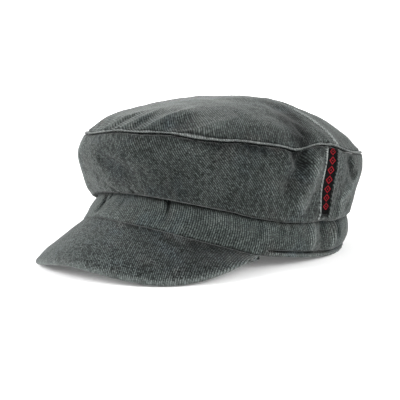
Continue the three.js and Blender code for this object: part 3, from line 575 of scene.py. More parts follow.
def top_piece(name, front, cols, rows):
    span = SIDE_SEAM if front else 180 - SIDE_SEAM
    reach = S[0] * math.sin(math.radians(SIDE_SEAM))
    u = np.linspace(-1, 1, cols)
    v = merged(np.linspace(0, 1, rows), np.linspace(0, 0.09, 26), 0.5 - 0.5 * np.cos(np.linspace(0, np.pi, rows)), 1 - np.geomspace(0.0022, 0.05, 20), gap=0.0003)
    v = v[v < 1 - 0.002]
    v = np.append(v, 1.0)
    U, V = grid(u, v)
    deg = U * span if front else 180 - U * span
    rim = ring(S, deg)
    xs = reach * np.sin(U * np.pi / 2)
    ys = cross(xs) + (-0.06 if front else 0.06)
    x = xs + (rim[..., 0] - xs) * V
    y = ys + (rim[..., 1] - ys) * V
    z = top_height(x, y)
    e = 0.4
    gx = (top_height(x + e, y, False) - top_height(x - e, y, False)) / (2 * e)
    gy = (top_height(x, y + e, False) - top_height(x, y - e, False)) / (2 * e)
    k, ang = top_k(x, y)
    edge_r = ring(S, ang)
    flat = np.stack([edge_r[..., 0], edge_r[..., 1], np.zeros_like(x)], -1)
    flat /= np.linalg.norm(flat, axis=-1, keepdims=True)
    inset = np.hypot(edge_r[..., 0] - x, edge_r[..., 1] - y)
    s = inset * 1.35
    n = np.stack([-gx, -gy, np.ones_like(x)], -1)
    n /= np.linalg.norm(n, axis=-1, keepdims=True)
    p = np.stack([x, y, z], -1)
    arc = ang * 1.83
    puck = np.cos(2 * np.pi * arc / 8.5 + 2.2 * np.sin(arc / 17.0)) * 0.22 * np.exp(-np.abs(s - 4) / 4.0)
    uneven = (0.42 * ripple(p, 34, 13) + 0.18 * ripple(p, 15, 14) + 0.06 * ripple(p, 7, 15)) * smooth(s / 8)
    nubs = 1 + 0.30 * ripple(p, 4, 16)
    bead = 0.54 * nubs * np.sqrt(np.maximum(0, 1 - np.minimum(1, np.abs(s - 0.75) / 0.9) ** 2))
    crease = -0.55 * np.exp(-(((s - 2.2) / 0.7) ** 2))
    # the cross seam: one sharp line, and a flat felled strip 4.6 mm wide behind it
    slope = (cross(x + 0.5) - cross(x - 0.5))
    sd = (y - cross(x)) / np.sqrt(1 + slope ** 2) * 1.05
    felled = 0.35 * smooth((sd - 0.3) / 0.8) * smooth((6.0 - sd) / 0.8)
    outer_end = smooth((np.abs(x) - 42) / 18)
    groove_at, ridge_at, light_at = -3.3 * outer_end, -1.3 + 1.5 * outer_end, -1.3 + 0.7 * outer_end
    stitched = -0.6 * np.exp(-(((sd - groove_at) / (0.6 + 0.7 * outer_end)) ** 2)) + 0.5 * np.exp(-(((sd - ridge_at) / (0.8 + 0.5 * outer_end)) ** 2)) + 0.3 * (1 - outer_end) * np.exp(-(((sd - 5.4) / 0.8) ** 2))
    relief = uneven + puck + bead + crease + (felled + stitched) * smooth((s - 1.0) / 2.0)
    outer = p + n * relief[..., None]
    away = smooth((s - 1.5) / 2.0)
    by_rim = s < np.abs(sd) + 2
    thin = 0.40 + 0.16 * smooth((70 - np.abs(x)) / 40)
    # seam coordinates: the light stitched lines, and painted shadow lines in the groove under the rim's bead, in the
    # cross seam's groove and at the felled strip's edge
    seams = coords(np.where(by_rim, arc, x * 1.02), nearest(np.hypot((s - 0.75) * 1.2, 0.48), np.where(away > 0.5, (sd - light_at) * thin, FAR), np.where(away > 0.5, (sd - 5.4) * (0.55 + 2 * outer_end), FAR)),
                   nearest(s - 2.3, np.where(away > 0.5, (sd - groove_at) * (1 - 0.6 * outer_end), FAR), np.where(away > 0.5, (sd - 6.6) * (1.3 + 2 * outer_end), FAR)))
    # painted light and shade: fold crests painted lighter and hollows darker, painted shade below the rim at the front
    # right, and the zones of the table above
    big, small = traced(TOP_LINES, x, y), traced(TOP_CREASES, x, y)
    f = np.clip((0.6 * big + 1.5 * small) / 1.9, -1, 1)
    wear_and_shading = np.where(f > 0, 0.42, 0.45) * f * away
    wear_and_shading = wear_and_shading - 0.30 * np.exp(-(((s - 3.0) / 8.0) ** 2)) * away * smooth((ang - 12) / 22) * smooth((80 - ang) / 12)
    for x0, y0, x1, y1, much, w in TOP_PAINTED_LIGHT_AND_SHADE:
        wear_and_shading = wear_and_shading + much * np.exp(-((near(x, y, x0, y0, x1, y1) / w) ** 2)) * away
    inner = p - n * CLOTH + np.array([0, 0, 0.1])
    base = ring_z(S, ang) + seam_up(ang)
    low = inset < 4
    inner[..., 2] = np.where(low, np.maximum(inner[..., 2], base + 0.05), inner[..., 2])
    # the rim rolls over and under
    rz = ring_z(S, deg[:, -1]) + seam_up(deg[:, -1])
    out = flat[:, -1]
    r2 = rim[:, -1]
    def extra(off, up):
        q = np.stack([r2[:, 0] + out[:, 0] * off, r2[:, 1] + out[:, 1] * off, rz + up], -1)
        return q[:, None, :]
    outer = np.concatenate([outer[:, :-1], extra(0.32, 0.50), extra(0.50, 0.25), extra(0.50, -0.05), extra(0.25, -0.32)], 1)
    inner = np.concatenate([inner[:, :-1], extra(-0.25, 0.1), extra(-0.15, 0.0), extra(-0.05, -0.1), extra(0.1, -0.25)], 1)
    # the rolled rim keeps its colour on top and is painted dark as shade underneath
    wv = np.concatenate([wear_and_shading[:, :-1], wear_and_shading[:, -2:-1], wear_and_shading[:, -2:-1] * 0.7, np.full((cols, 1), 0.1), np.full((cols, 1), -0.7)], 1)
    q = np.repeat(seams[:, -2:-1], 4, 1)
    q[..., 1] = np.array([0.55, 0.8, 1.3, 3.0])
    q[..., 2] = np.array([2.0, 0.9, 0.3, 0.0])
    seams = np.concatenate([seams[:, :-1], q], 1)
    X = np.concatenate([x[:, :-1]] + [x[:, -1:]] * 4, 1)
    Y = np.concatenate([y[:, :-1]] + [y[:, -1:] + j * (0.6 if not front else -0.6) for j in range(4)], 1)
    # the inside is painted darker as shade
    return sheet(name, outer, inner, coords(X, Y, wv), coords(X, Y, -0.3), flip=front, seams=seams)


def band_share(deg, up):
    lo, hi = np.zeros_like(deg), np.ones_like(deg)
    z0 = band(deg, np.zeros_like(deg))[..., 2]
    for _ in range(22):
        mid = (lo + hi) / 2
        below = band(deg, mid)[..., 2] - z0 < up
        lo, hi = np.where(below, mid, lo), np.where(below, hi, mid)
    return (lo + hi) / 2


HEM_FROM = VISOR_DEG + 0.5


def band_relief(A, T, P):
    broad = folds(BAND_FOLDS, A, T, 24.0) + (0.22 * ripple(P, 22, 23) + 0.12 * ripple(P, 9, 24)) * smooth(T / 0.2)
    arc = A * 1.72
    puck = np.cos(2 * np.pi * arc / 10.0 + 1.9 * np.sin(arc / 19.0)) * 0.22 * (0.3 + 0.7 * np.exp(-(1 - T) * 24.0 / 7.0))
    return broad, traced(BAND_CREASES, A, T, 1.83, 24.0), puck


def band_piece(name, step):
    edge = HEM_FROM
    a = merged(np.arange(-179.97, 179.97, step), [179.97], [s * (edge + d) for s in (-1, 1) for d in (-0.2, -0.012, 0.012, 0.2)], gap=0.015)
    start = np.where(np.abs(a) < edge, 0.0, band_share(a, HEM_STRIP + GROOVE))
    v = merged(np.linspace(0, 0.08, 6), np.linspace(0.08, 1, 34), gap=0.004)
    A, V = grid(a, v)
    T = start[:, None] + (1 - start[:, None]) * V
    P = band(A, T)
    N = normals(band, A, T)
    H = 24.0
    broad, fine, puck = band_relief(A, T, P)
    arc = A * 1.72
    h = (T - start[:, None]) * H
    over = np.abs(A) < edge
    round_edge = np.where(over, 1.0, 1.4 * smooth((np.abs(A) - edge) / 1.6) + 0.01)
    roll = -(1 - np.sqrt(np.maximum(0, 1 - np.clip(1 - h / round_edge, 0, 1) ** 2))) * round_edge * 0.9
    back_seam = np.abs(around(A - 180)) * 1.72
    seam = -0.8 * np.exp(-((back_seam / 0.6) ** 2)) + 0.35 * np.exp(-(((back_seam - 1.8) / 1.1) ** 2))
    d = broad + fine + puck + roll + seam
    # painted light and shade: fold crests lighter and hollows darker; a painted light lower edge over the visor;
    # painted shade under the crown's lip, at the bottom edge above the hem's groove and at the bottom on the right; the
    # front left painted lighter where the light falls
    wear_and_shading = 0.45 * np.clip((broad + 1.3 * fine) / 1.6, -1, 1) + np.where(over, 0.10, 0.0) * np.exp(-((h - 0.9) / 1.1) ** 2) - 0.8 * np.exp(-((1 - T) * H / 2.8) ** 2) - np.where(over, 0.0, 0.5) * np.exp(-(h / 0.9) ** 2) * smooth((np.abs(A) - edge) / 1.6)
    wear_and_shading = wear_and_shading - 0.45 * np.exp(-((h / 1.0) ** 2)) * smooth((A - 8) / 14) * smooth((66 - A) / 10) + 0.10 * smooth((14 - A) / 20) * smooth((A + 60) / 20)
    outer = P + N * d[..., None]
    inner = P + N * (broad - CLOTH)[..., None]
    base = P[:, 0, 2]
    NL = level(N)
    for j in np.flatnonzero(v < 0.09):
        inner[:, j] = P[:, j] + NL[:, j] * (broad[:, j] - 1.2 * CLOTH)[:, None]
        inner[:, j, 2] = np.maximum(inner[:, j, 2], base)
        outer[:, j, 2] = np.maximum(outer[:, j, 2], base)
    top = band(a, np.ones_like(a))
    nt = level(normals(band, a, np.ones_like(a)))
    bd = folds(BAND_FOLDS, a, 1.0, H)
    for up in (1.6, 3.2, 5.0):
        q = top + nt * (bd - 0.2)[:, None] + np.array([0, 0, up])
        outer = np.concatenate([outer, q[:, None]], 1)
        inner = np.concatenate([inner, (q - nt * CLOTH)[:, None]], 1)
    n_extra = 3
    # the band's top, tucked up under the crown's lip, is painted dark as shade
    W = np.concatenate([wear_and_shading, np.full((len(a), n_extra), -0.6)], 1)
    VV = np.concatenate([T * H, np.repeat(np.array([[25.6, 27.2, 29.0]]), len(a), 0)], 1)
    AA = np.repeat(arc[:, :1], VV.shape[1], 1)
    # the inside is painted darker as shade
    return sheet(name, outer, inner, coords(AA, VV, W), coords(AA, VV, -0.4))


def hem_piece(name, step):
    a0 = HEM_FROM + 0.03
    a = merged(np.arange(a0, 360 - a0, step), a0 + np.linspace(0, 2, 12), 360 - a0 - np.linspace(0, 2, 12), [360 - a0], gap=0.05)
    ups = np.array([0.0, 0.12, 0.35, 0.7, 1.1, 1.5, 1.9, 2.25, 2.5, 2.66, 2.75])
    prof = np.array([-0.35, 0.1, 0.42, 0.62, 0.72, 0.75, 0.72, 0.55, 0.25, -0.15, -0.5])
    A, U = grid(a, ups)
    # at its ends the strip runs on from the band with no step
    free = smooth((np.abs(around(A)) - HEM_FROM) / 2.6)
    U = U * (1 + (GROOVE - 0.03) / HEM_STRIP * (1 - smooth((np.abs(around(A)) - HEM_FROM) / 1.4)))
    lo = band(A, np.zeros_like(A))
    share = band_share(A, U)
    p = band(A, share)
    n = normals(band, A, share)
    nl = level(normals(band, A, np.full_like(A, 0.05)))
    broad, fine, puck = band_relief(around(A), share, p)
    h = share * 24.0
    roll = -(1.0 - np.sqrt(np.maximum(0, 1 - np.clip(1 - h, 0, 1) ** 2))) * 0.9
    as_band = p + n * (broad + fine + puck + roll)[..., None]
    arc = around(A) * 1.72
    wob = 0.10 * np.cos(2 * np.pi * arc / 9.0 + 1.5 * np.sin(arc / 15.0)) + 0.08 * ripple(p, 6, 31)
    strip = p + nl * (prof[None] + wob)[..., None]
    strip[..., 2] = lo[..., 2] + U + 0.10 * ripple(p, 14, 32)
    outer = as_band * (1 - free)[..., None] + strip * free[..., None]
    inner = p - nl * 2.9
    inner[..., 2] = lo[..., 2] + U
    # the strip: a painted highlight along its upper face, painted shade at its foot and in the groove at its top
    wear_and_shading = (0.25 * np.exp(-((ups - 1.9) / 0.7) ** 2) - 0.3 * np.exp(-((ups - 0.2) / 0.5) ** 2) - 0.6 * np.exp(-((ups - 2.75) / 0.25) ** 2))[None] * free
    # the back of the groove, a sheet painted dark as shade
    back_o, back_i = [], []
    for up in (HEM_STRIP + 0.05, HEM_STRIP + GROOVE * 0.5, HEM_STRIP + GROOVE + 0.6):
        sh = band_share(a, np.full_like(a, up))
        q = band(a, sh)
        qn = level(normals(band, a, np.full_like(a, 0.05)))
        back_o.append((q - qn * 2.32)[:, None])
        back_i.append((q - qn * 2.9)[:, None])
    outer, inner = np.concatenate([outer] + back_o, 1), np.concatenate([inner] + back_i, 1)
    arc, high = np.concatenate([arc] + [arc[:, -1:]] * 3, 1), np.concatenate([share * 24.0] + [share[:, -1:] * 24.0 + k for k in (1.5, 2.2, 3.2)], 1)
    wear_and_shading = np.concatenate([wear_and_shading, np.full((len(a), 3), -1.0)], 1)
    return sheet(name, outer, inner, coords(arc, high, wear_and_shading), coords(arc, high, -0.2))


HEM_END = ring([LEVELS["hem"][i] for i in range(6)], np.array(VISOR_DEG))


def visor_edge(tau):
    c, s, s2 = np.maximum(0, np.cos(np.radians(tau))), np.sin(np.radians(tau)), np.sin(2 * np.radians(tau))
    return np.stack([HEM_END[0] * np.sign(s) * np.abs(s) ** VIS["m"] + VIS["xo"] * s2,
                     HEM_END[1] - VIS["fe"] * c ** VIS["q"],
                     HEM_END[2] + (VIS["zc"] - HEM_END[2]) * c ** VIS["r"] + VIS["zq"] * s2 * s2], -1)


def visor_top(tau, w):
    h = band(VISOR_DEG * tau / 90, np.zeros_like(tau))
    e = visor_edge(tau)
    c = np.sqrt(np.maximum(0, np.cos(np.radians(tau))))
    h[..., 2] -= 0.45
    e[..., 2] += BOARD * 0.8
    flat = np.stack([e[..., 0] - h[..., 0], e[..., 1] - h[..., 1], np.zeros_like(tau)], -1)
    flat /= np.maximum(1e-6, np.linalg.norm(flat, axis=-1, keepdims=True))
    p = np.maximum(0, w) ** VIS["p"]
    bump = (4 * p * (1 - p) * c)[..., None]
    return h + (e - h) * w[..., None] + flat * bump * VIS["out"] + np.array([0, 0, 1.0]) * bump * VIS["up"]


def visor_piece(name, cols, rows):
    tau = merged(np.linspace(-88.5, 88.5, cols), gap=0.01)
    w = merged(np.linspace(0, 0.9, rows), np.linspace(0.9, 0.975, 9), 1 - np.geomspace(0.0008, 0.03, 9), [1.0], gap=0.0006)
    TA, W = grid(tau, w)
    P = visor_top(TA, W)
    du = visor_top(TA + 0.4, W) - visor_top(TA - 0.4, W)
    dv = visor_top(TA, np.minimum(1, W + 0.03)) - visor_top(TA, np.maximum(0, W - 0.03))
    n = np.cross(dv, du)
    n /= np.linalg.norm(n, axis=-1, keepdims=True)
    n = np.where(n[..., 2:3] < 0, -n, n)
    near_root = smooth(W / 0.12)[..., None]
    n = n * np.concatenate([0.3 + 0.7 * near_root] * 2 + [np.ones_like(near_root)], -1)
    n /= np.linalg.norm(n, axis=-1, keepdims=True)
    L = np.linalg.norm(visor_edge(tau) - band(VISOR_DEG * tau / 90, np.zeros_like(tau)), axis=-1)[:, None]
    s = (1 - W) * L
    slim = np.minimum(1, 0.22 + L / 14)
    R = 1.95
    ht = np.where(s < R, np.sqrt(np.maximum(0, R * R - (R - np.minimum(s, R)) ** 2)), 1.45 + 0.5 * np.exp(-(((s - R) / 3.0) ** 2)))
    ht = ht * slim
    mid = P - n * 1.3 * slim[..., None]
    uneven = (0.16 * ripple(P, 26, 41) + 0.07 * ripple(P, 10, 42)) * smooth(s / 6) * smooth(W / 0.15)
    groove = -0.05 * np.exp(-(((s - 6.2) / 1.8) ** 2))
    outer = mid + n * (ht + uneven + groove)[..., None]
    inner = mid - n * (ht + groove)[..., None]
    # tucked in under the band
    root = np.stack([P[:, 0, 0], P[:, 0, 1], np.zeros(len(tau))], -1)
    root /= np.linalg.norm(root, axis=-1, keepdims=True)
    first = P[:, 0] - root * 1.5
    outer = np.concatenate([(first + np.array([0, 0, 0.42]))[:, None], outer], 1)
    inner = np.concatenate([(first - np.array([0, 0, BOARD]) * slim)[:, None], inner], 1)
    # painted light and shade with some wear: the rim lighter, worn and lit; painted shade at the root under the band,
    # deeper to the right, and over the whole right part; the left part painted lighter where the light falls
    wear_and_shading = 0.84 * np.exp(-(np.maximum(0, s - 0.8) / 3.2) ** 2) - (0.44 + 0.40 * smooth((TA - 5) / 40)) * np.exp(-(W * L / 7.0)) - 0.55 * np.exp(-(W * L / 1.1) ** 2)
    wear_and_shading = wear_and_shading - 0.52 * smooth((TA - 8) / 55) * smooth((s - 3) / 9) + 0.16 * smooth((-TA + 5) / 60) * smooth((s - 2) / 9)
    # at its two ends the visor is all rim
    tip = smooth((np.abs(TA) - 80) / 6)
    wear_and_shading = wear_and_shading * (1 - tip) + 0.35 * tip
    wear_and_shading = np.concatenate([wear_and_shading[:, :1], wear_and_shading], 1)
    tip = np.concatenate([tip[:, :1], tip], 1)
    # flat cloth coordinates: across the head and away from the band
    uu = np.concatenate([P[:, :1, 0], P[..., 0]], 1)
    vv = np.concatenate([P[:, :1, 1] * 1.0, P[..., 1] - (P[..., 2] - P[:, :1, 2]) * -0.6], 1)
    under = np.concatenate([s[:, :1], s], 1)
    # the underside is painted lighter along the rim and darker further in, as light and shade
    return sheet(name, outer, inner, coords(uu, vv, wear_and_shading), coords(uu, vv, (0.5 * np.exp(-(under / 3.5) ** 2) - 0.2) * (1 - tip) + 0.35 * tip), flip=True)


def label_piece(name):
    a = merged(np.linspace(LABEL_FROM, LABEL_TO, 15), [LABEL_FROM + 0.06, LABEL_TO - 0.06], gap=0.02)
    t = merged(np.linspace(LABEL_LOW, LABEL_HIGH, 90), gap=0.001)
    A, T = grid(a, t)
    across = (A - LABEL_FROM) / (LABEL_TO - LABEL_FROM) * 2 - 1
    l0, r0 = tape_edges(T)
    A = l0 + (r0 - l0) * (across + 1) / 2
    P = wall(A, T)
    N = normals(wall, A, T)
    _, broad, _ = wall_relief(A, T, P, ())
    crown = 0.10 * (1 - across ** 2) + 0.05 * np.cos(2 * np.pi * T * WALL_H / 9.0) - 0.18 * np.clip((np.abs(across) - 0.94) / 0.06, 0, 1)
    outer = P + N * (broad - 0.12 + crown)[..., None]
    inner = P + N * (broad - 0.80)[..., None]
    return sheet(name, outer, inner, coords(across * 6.2, (T - LABEL_LOW) * WALL_H, 0.0), coords(across * 6.2, (T - LABEL_LOW) * WALL_H, 0.0))


# ------------------------------------------------------------------ materials
class Nodes:
    def __init__(self, name):
        self.mat = bpy.data.materials.new(name)
        self.mat.use_nodes = True
        self.nt = self.mat.node_tree
        self.nt.nodes.clear()
        self.out = self.nt.nodes.new("ShaderNodeOutputMaterial")
        self.bsdf = self.nt.nodes.new("ShaderNodeBsdfPrincipled")
        self.nt.links.new(self.bsdf.outputs["BSDF"], self.out.inputs["Surface"])

    def link(self, a, b):
        self.nt.links.new(a, b)

    def math(self, op, a, b=None, c=None, clamp=False):
        n = self.nt.nodes.new("ShaderNodeMath")
        n.operation = op
        n.use_clamp = clamp
        for i, v in enumerate((a, b, c)):
            if v is None:
                continue
            if isinstance(v, (int, float)):
                n.inputs[i].default_value = v
            else:
                self.link(v, n.inputs[i])
        return n.outputs[0]

    def cloth(self):
        n = self.nt.nodes.new("ShaderNodeAttribute")
        n.attribute_name = "cloth"
        sep = self.nt.nodes.new("ShaderNodeSeparateXYZ")
        self.link(n.outputs["Vector"], sep.inputs[0])
        return sep.outputs

    def noise(self, vec, scale, detail=2.0, rough=0.5, out="Fac"):
        n = self.nt.nodes.new("ShaderNodeTexNoise")
        n.inputs["Scale"].default_value = scale
        n.inputs["Detail"].default_value = detail
        n.inputs["Roughness"].default_value = rough
        self.link(vec, n.inputs["Vector"])
        return n.outputs[out]

    def combine(self, x, y, z=0.0):
        n = self.nt.nodes.new("ShaderNodeCombineXYZ")
        for i, v in enumerate((x, y, z)):
            if isinstance(v, (int, float)):
                n.inputs[i].default_value = v
            else:
                self.link(v, n.inputs[i])
        return n.outputs[0]

    def mix(self, fac, a, b):
        n = self.nt.nodes.new("ShaderNodeMix")
        n.data_type = "RGBA"
        n.clamp_factor = True
        if isinstance(fac, (int, float)):
            n.inputs[0].default_value = fac
        else:
            self.link(fac, n.inputs[0])
        for i, v in ((6, a), (7, b)):
            if isinstance(v, tuple):
                n.inputs[i].default_value = (*v, 1)
            else:
                self.link(v, n.inputs[i])
        return n.outputs[2]

    def scale(self, color, k):
        n = self.nt.nodes.new("ShaderNodeVectorMath")
        n.operation = "SCALE"
        self.link(color, n.inputs[0])
        if isinstance(k, (int, float)):
            n.inputs["Scale"].default_value = k
        else:
            self.link(k, n.inputs["Scale"])
        return n.outputs[0]

    def bump(self, height, dist, strength=1.0):
        n = self.nt.nodes.new("ShaderNodeBump")
        n.inputs["Distance"].default_value = dist
        n.inputs["Strength"].default_value = strength
        self.link(height, n.inputs["Height"])
        self.link(n.outputs[0], self.bsdf.inputs["Normal"])

    def centred(self, v, k):
        """(v - 0.5) * k"""
        return self.math("MULTIPLY_ADD", v, k, -0.5 * k)


def twill(name, base, light, dark, line_deg, pitch=1.5, contrast=1.6, mottle=0.45, sheen=0.22, bead_long=1.15, uneven=1.1, seam=None, worn_and_lit_fade=0.55):
    """washed twill: diagonal rows of short light floats on a dark ground, salt and pepper, in cloth millimetres"""
    g = Nodes(name)
    u, v, wear_and_shading = g.cloth()
    th = math.radians(line_deg)
    uv = g.combine(u, v)
    lean = g.math("ADD", g.centred(g.noise(uv, 0.03, 1.0), 3.0), g.centred(g.noise(uv, 0.5, 1.0), 0.5))
    s = g.math("ADD", g.math("ADD", g.math("MULTIPLY", u, math.sin(th)), g.math("MULTIPLY", v, math.cos(th))), lean)
    c = g.math("ADD", g.math("MULTIPLY", u, -math.cos(th)), g.math("MULTIPLY", v, math.sin(th)))
    row = g.math("MULTIPLY", s, 1 / pitch)
    index = g.math("FLOOR", row)
    line = g.math("SINE", g.math("MULTIPLY", g.math("FRACT", row), math.pi))
    shift = g.nt.nodes.new("ShaderNodeTexWhiteNoise")
    shift.noise_dimensions = "1D"
    g.link(index, shift.inputs["W"])
    along = g.math("ADD", g.math("MULTIPLY", c, 1 / (pitch * bead_long)), g.math("MULTIPLY", shift.outputs["Value"], 7.0))
    bead = g.math("SINE", g.math("MULTIPLY", g.math("FRACT", along), math.pi))
    white = g.nt.nodes.new("ShaderNodeTexWhiteNoise")
    white.noise_dimensions = "2D"
    g.link(g.combine(index, g.math("FLOOR", along)), white.inputs["Vector"])
    luck = white.outputs["Value"]
    thread = g.math("MULTIPLY", g.math("POWER", line, 1.7), g.math("MULTIPLY_ADD", bead, 0.5, 0.5))
    weave = g.math("MULTIPLY", thread, g.math("MULTIPLY_ADD", luck, uneven, 1.35 - 0.5 * uneven))
    pepper = g.centred(g.noise(g.combine(u, v, 5.0), 1.0, 1.0, 0.7), 2.0)
    weave = g.math("ADD", weave, pepper)
    wash = g.noise(uv, 0.035, 3.0, 0.6)
    cloud = g.noise(g.combine(u, g.math("MULTIPLY", v, 0.7)), 0.17, 3.0, 0.65)
    tone = g.math("ADD", g.math("ADD", g.centred(wash, 0.9 * mottle), g.centred(cloud, 1.5 * mottle)), 1.0 - 0.52 * contrast)
    tone = g.math("ADD", tone, g.math("MULTIPLY", weave, contrast))
    # worn and painted-light places lose the weave's contrast
    tone = g.math("MULTIPLY_ADD", g.math("SUBTRACT", tone, 1.0), g.math("SUBTRACT", 1.0, g.math("MULTIPLY", g.math("MAXIMUM", wear_and_shading, 0.0), worn_and_lit_fade)), 1.0)
    # the third cloth coordinate mixes towards the light colour for wear and painted light, and towards the dark colour
    # for painted shade
    noisy_wear_and_shading = g.math("ADD", wear_and_shading, g.math("MULTIPLY", g.math("ABSOLUTE", wear_and_shading), g.centred(g.noise(uv, 0.5, 2.0), 1.8)))
    col = g.mix(g.math("MAXIMUM", noisy_wear_and_shading, 0.0), base, light)
    col = g.mix(g.math("MULTIPLY", g.math("MINIMUM", noisy_wear_and_shading, 0.0), -1.0), col, dark)
    tint = g.math("MULTIPLY", g.math("SUBTRACT", g.noise(g.combine(u, v, 3.0), 0.07, 2.0), 0.52, clamp=True), 3.0)
    col = g.mix(tint, col, tuple(x * y for x, y in zip(base, (1.12, 0.99, 0.99))))
    tint2 = g.math("MULTIPLY", g.math("SUBTRACT", g.noise(g.combine(u, v, 9.0), 0.06, 2.0), 0.52, clamp=True), 2.6)
    col = g.mix(tint2, col, tuple(x * y for x, y in zip(base, (0.92, 1.0, 1.12))))
    # seams: a light row of stitches and a painted shadow line
    n = g.nt.nodes.new("ShaderNodeAttribute")
    n.attribute_name = "seams"
    sep = g.nt.nodes.new("ShaderNodeSeparateXYZ")
    g.link(n.outputs["Vector"], sep.inputs[0])
    def ridge(dist, width):
        q = g.math("POWER", g.math("ABSOLUTE", g.math("MULTIPLY", dist, 1 / width)), 2.0)
        return g.math("EXPONENT", g.math("MULTIPLY", q, -1.0))
    stitch = g.math("MULTIPLY_ADD", g.math("SINE", g.math("MULTIPLY", sep.outputs[0], 2 * math.pi / 2.15)), 0.22, 0.86)
    patchy = g.math("ADD", stitch, g.centred(g.noise(uv, 0.22, 2.0), 1.2))
    lit = g.math("MULTIPLY", ridge(sep.outputs[1], 0.66), patchy, clamp=True)
    seam_shadow = g.math("MULTIPLY", ridge(sep.outputs[2], 0.62), 0.72, clamp=True)
    tone = g.math("MULTIPLY_ADD", g.math("SUBTRACT", tone, 1.0), g.math("SUBTRACT", 1.0, lit), 1.0)
    col = g.mix(lit, g.mix(seam_shadow, col, dark), seam or SEAM)
    col = g.scale(col, g.math("MAXIMUM", tone, 0.12))
    g.link(col, g.bsdf.inputs["Base Color"])
    g.bsdf.inputs["Roughness"].default_value = 0.92
    g.bsdf.inputs["Specular IOR Level"].default_value = 0.05
    g.bsdf.inputs["Sheen Weight"].default_value = sheen
    g.bsdf.inputs["Sheen Roughness"].default_value = 0.4
    g.bsdf.inputs["Sheen Tint"].default_value = (0.90, 0.93, 0.91, 1)
    g.bump(g.math("ADD", weave, g.centred(cloud, 2.0)), 0.00015, 0.8)
    return g.mat


def tape(name):
    g = Nodes(name)
    u, v, _ = g.cloth()
    uv = g.combine(u, v)
    # a row of small woven diamonds, each a ring round a dot
    pitch = 5.4
    vv = g.math("SUBTRACT", v, 2.2)
    cell = g.math("SUBTRACT", g.math("FRACT", g.math("MULTIPLY", vv, 1 / pitch)), 0.5)
    d = g.math("ADD", g.math("MULTIPLY", g.math("ABSOLUTE", u), 1 / 4.2), g.math("MULTIPLY", g.math("ABSOLUTE", cell), 2.1))
    ringd = g.math("LESS_THAN", g.math("ABSOLUTE", g.math("SUBTRACT", d, 0.80)), 0.14)
    dot = g.math("LESS_THAN", d, 0.20)
    inside = g.math("MULTIPLY", g.math("GREATER_THAN", vv, 0.0), g.math("LESS_THAN", vv, pitch * 6.9))
    red = g.math("MULTIPLY", g.math("MAXIMUM", ringd, dot), inside)
    thread = g.noise(g.combine(g.math("MULTIPLY", u, 2.2), g.math("MULTIPLY", v, 3.2)), 1.0, 1.0, 0.6)
    red = g.math("MULTIPLY", red, g.math("MULTIPLY_ADD", thread, 1.3, 0.15), clamp=True)
    weave = g.math("SINE", g.math("MULTIPLY", v, 2 * math.pi / 0.9))
    base = g.mix(g.noise(uv, 0.5, 2.0), (0.0025, 0.0025, 0.0025), (0.008, 0.008, 0.008))
    col = g.mix(red, base, (0.21, 0.010, 0.015))
    g.link(col, g.bsdf.inputs["Base Color"])
    g.bsdf.inputs["Roughness"].default_value = 0.7
    g.bsdf.inputs["Specular IOR Level"].default_value = 0.0
    g.bump(g.math("ADD", g.math("MULTIPLY", weave, 0.5), g.math("MULTIPLY", red, 1.6)), 0.00010, 0.8)
    return g.mat


def dress(ob, mat, slot, *nodes):
    ob.data.materials.clear()
    ob.data.materials.append(mat)
    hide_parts(*nodes)


SEAM = (0.140, 0.151, 0.147)
CROWN = (0.0243, 0.0283, 0.0269)
# LIGHT is the colour of worn and painted-lit cloth, DARK the colour of painted shade
LIGHT = (0.110, 0.123, 0.118)
DARK = (0.004, 0.005, 0.005)
side_cloth = twill("washed_twill_side", CROWN, LIGHT, DARK, 52, pitch=1.40, contrast=1.5, uneven=1.7, worn_and_lit_fade=0.9, seam=(0.20, 0.215, 0.21))
top_cloth = twill("washed_twill_top", (0.0330, 0.0383, 0.0364), LIGHT, DARK, 24, pitch=1.42, contrast=1.35, sheen=0.2, uneven=1.6, worn_and_lit_fade=1.5, seam=(0.190, 0.204, 0.198))
band_cloth = twill("washed_twill_band", (0.0312, 0.0370, 0.0350), LIGHT, DARK, 73, pitch=1.54)
hem_cloth = twill("washed_twill_hem", (0.050, 0.058, 0.055), LIGHT, DARK, 84, pitch=1.54)
visor_cloth = twill("washed_twill_visor", (0.0303, 0.0358, 0.0347), (0.086, 0.097, 0.093), DARK, 74, pitch=1.26, contrast=1.78, bead_long=0.9, uneven=1.9, worn_and_lit_fade=0.65)
label_tape = tape("woven_tape")

STEP = 0.46
dress(wall_piece("side_front", -SIDE_SEAM + 0.04, SIDE_SEAM - 0.04, STEP, True), side_cloth, "crown_twill", "crown_side_front")
dress(wall_piece("side_rear", SIDE_SEAM + 0.04, 360 - SIDE_SEAM - 0.04, STEP, False), side_cloth, "crown_twill", "crown_side_rear")
dress(top_piece("top_front", True, 288, 68), top_cloth, "crown_twill", "crown_top_front")
dress(top_piece("top_rear", False, 232, 80), top_cloth, "crown_twill", "crown_top_rear")
dress(band_piece("band", STEP), band_cloth, "band_twill", "headband")
dress(hem_piece("hem", STEP), hem_cloth, "hem_twill", "hem_edge")
dress(visor_piece("peak", 300, 56), visor_cloth, "visor_twill", "visor")
dress(label_piece("tape"), label_tape, "label_tape", "label")

# ------------------------------------------------------------------ floor and light


TENT, TENT_FRONT, AIR = 0.8, 0.2, 0.3


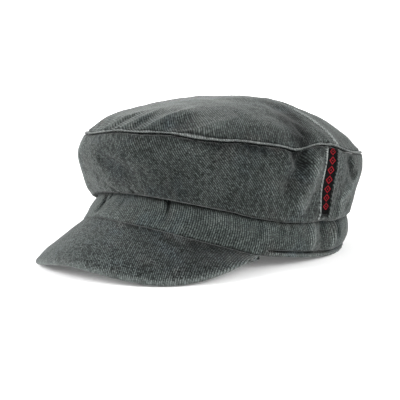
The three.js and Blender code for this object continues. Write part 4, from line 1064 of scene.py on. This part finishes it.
def studio():
    w = bpy.data.worlds.new("studio")
    bpy.context.scene.world = w
    w.use_nodes = True
    bg = w.node_tree.nodes["Background"]
    bg.inputs[0].default_value = (1, 1, 1, 1)
    bg.inputs[1].default_value = AIR
    me = bpy.data.meshes.new("floor")
    r = 12.0
    me.from_pydata([(-r, -r, 0), (r, -r, 0), (r, r, 0), (-r, r, 0)], [], [(0, 1, 2, 3)])
    ob = bpy.data.objects.new("floor", me)
    bpy.context.scene.collection.objects.link(ob)
    g = Nodes("pale_floor")
    g.bsdf.inputs["Base Color"].default_value = (0.93, 0.93, 0.93, 1)
    g.bsdf.inputs["Roughness"].default_value = 0.9
    g.bsdf.inputs["Specular IOR Level"].default_value = 0.1
    g.bsdf.inputs["Emission Color"].default_value = (1, 1, 1, 1)
    g.bsdf.inputs["Emission Strength"].default_value = 0.12
    me.materials.append(g.mat)
    # a round light tent: its half behind the cap glows, the half behind the camera only a little
    towards = math.atan2(-CAM_BACK[1], -CAM_BACK[0])
    for name, glow, mid, half in (("tent_back", TENT, towards, 100), ("tent_front", TENT_FRONT, towards + math.pi, 80)):
        turn = [mid + math.radians(d) for d in range(-half, half + 1, 5)]
        pts = [(2.4 * math.cos(t), 2.4 * math.sin(t), z) for z in (0.0, 0.4, 1.0, 2.6) for t in turn]
        n = len(turn)
        me2 = bpy.data.meshes.new(name)
        me2.from_pydata(pts, [], [(r * n + i, r * n + i + 1, (r + 1) * n + i + 1, (r + 1) * n + i) for r in range(3) for i in range(n - 1)])
        tent = bpy.data.objects.new(name, me2)
        bpy.context.scene.collection.objects.link(tent)
        h = Nodes(name)
        h.bsdf.inputs["Base Color"].default_value = (0.9, 0.9, 0.9, 1)
        h.bsdf.inputs["Emission Color"].default_value = (1, 1, 1, 1)
        h.bsdf.inputs["Emission Strength"].default_value = glow
        me2.materials.append(h.mat)
    from mathutils import Vector

    def area(name, at, size, power, aim=(0, 0, 0.06)):
        d = bpy.data.lights.new(name, "AREA")
        d.shape = "DISK"
        d.size = size
        d.energy = power
        o = bpy.data.objects.new(name, d)
        o.location = at
        o.rotation_euler = (Vector(aim) - Vector(at)).to_track_quat("-Z", "Y").to_euler()
        bpy.context.scene.collection.objects.link(o)

    area("left", (-0.9, -1.1, 0.7), 0.9, 24.0)
    area("left_low", (-1.3, -0.5, 0.3), 0.6, 6.0)
    area("right", (1.5, 0.1, 0.6), 0.9, 20.0)
    bpy.context.scene.view_settings.view_transform = "Standard"


studio()
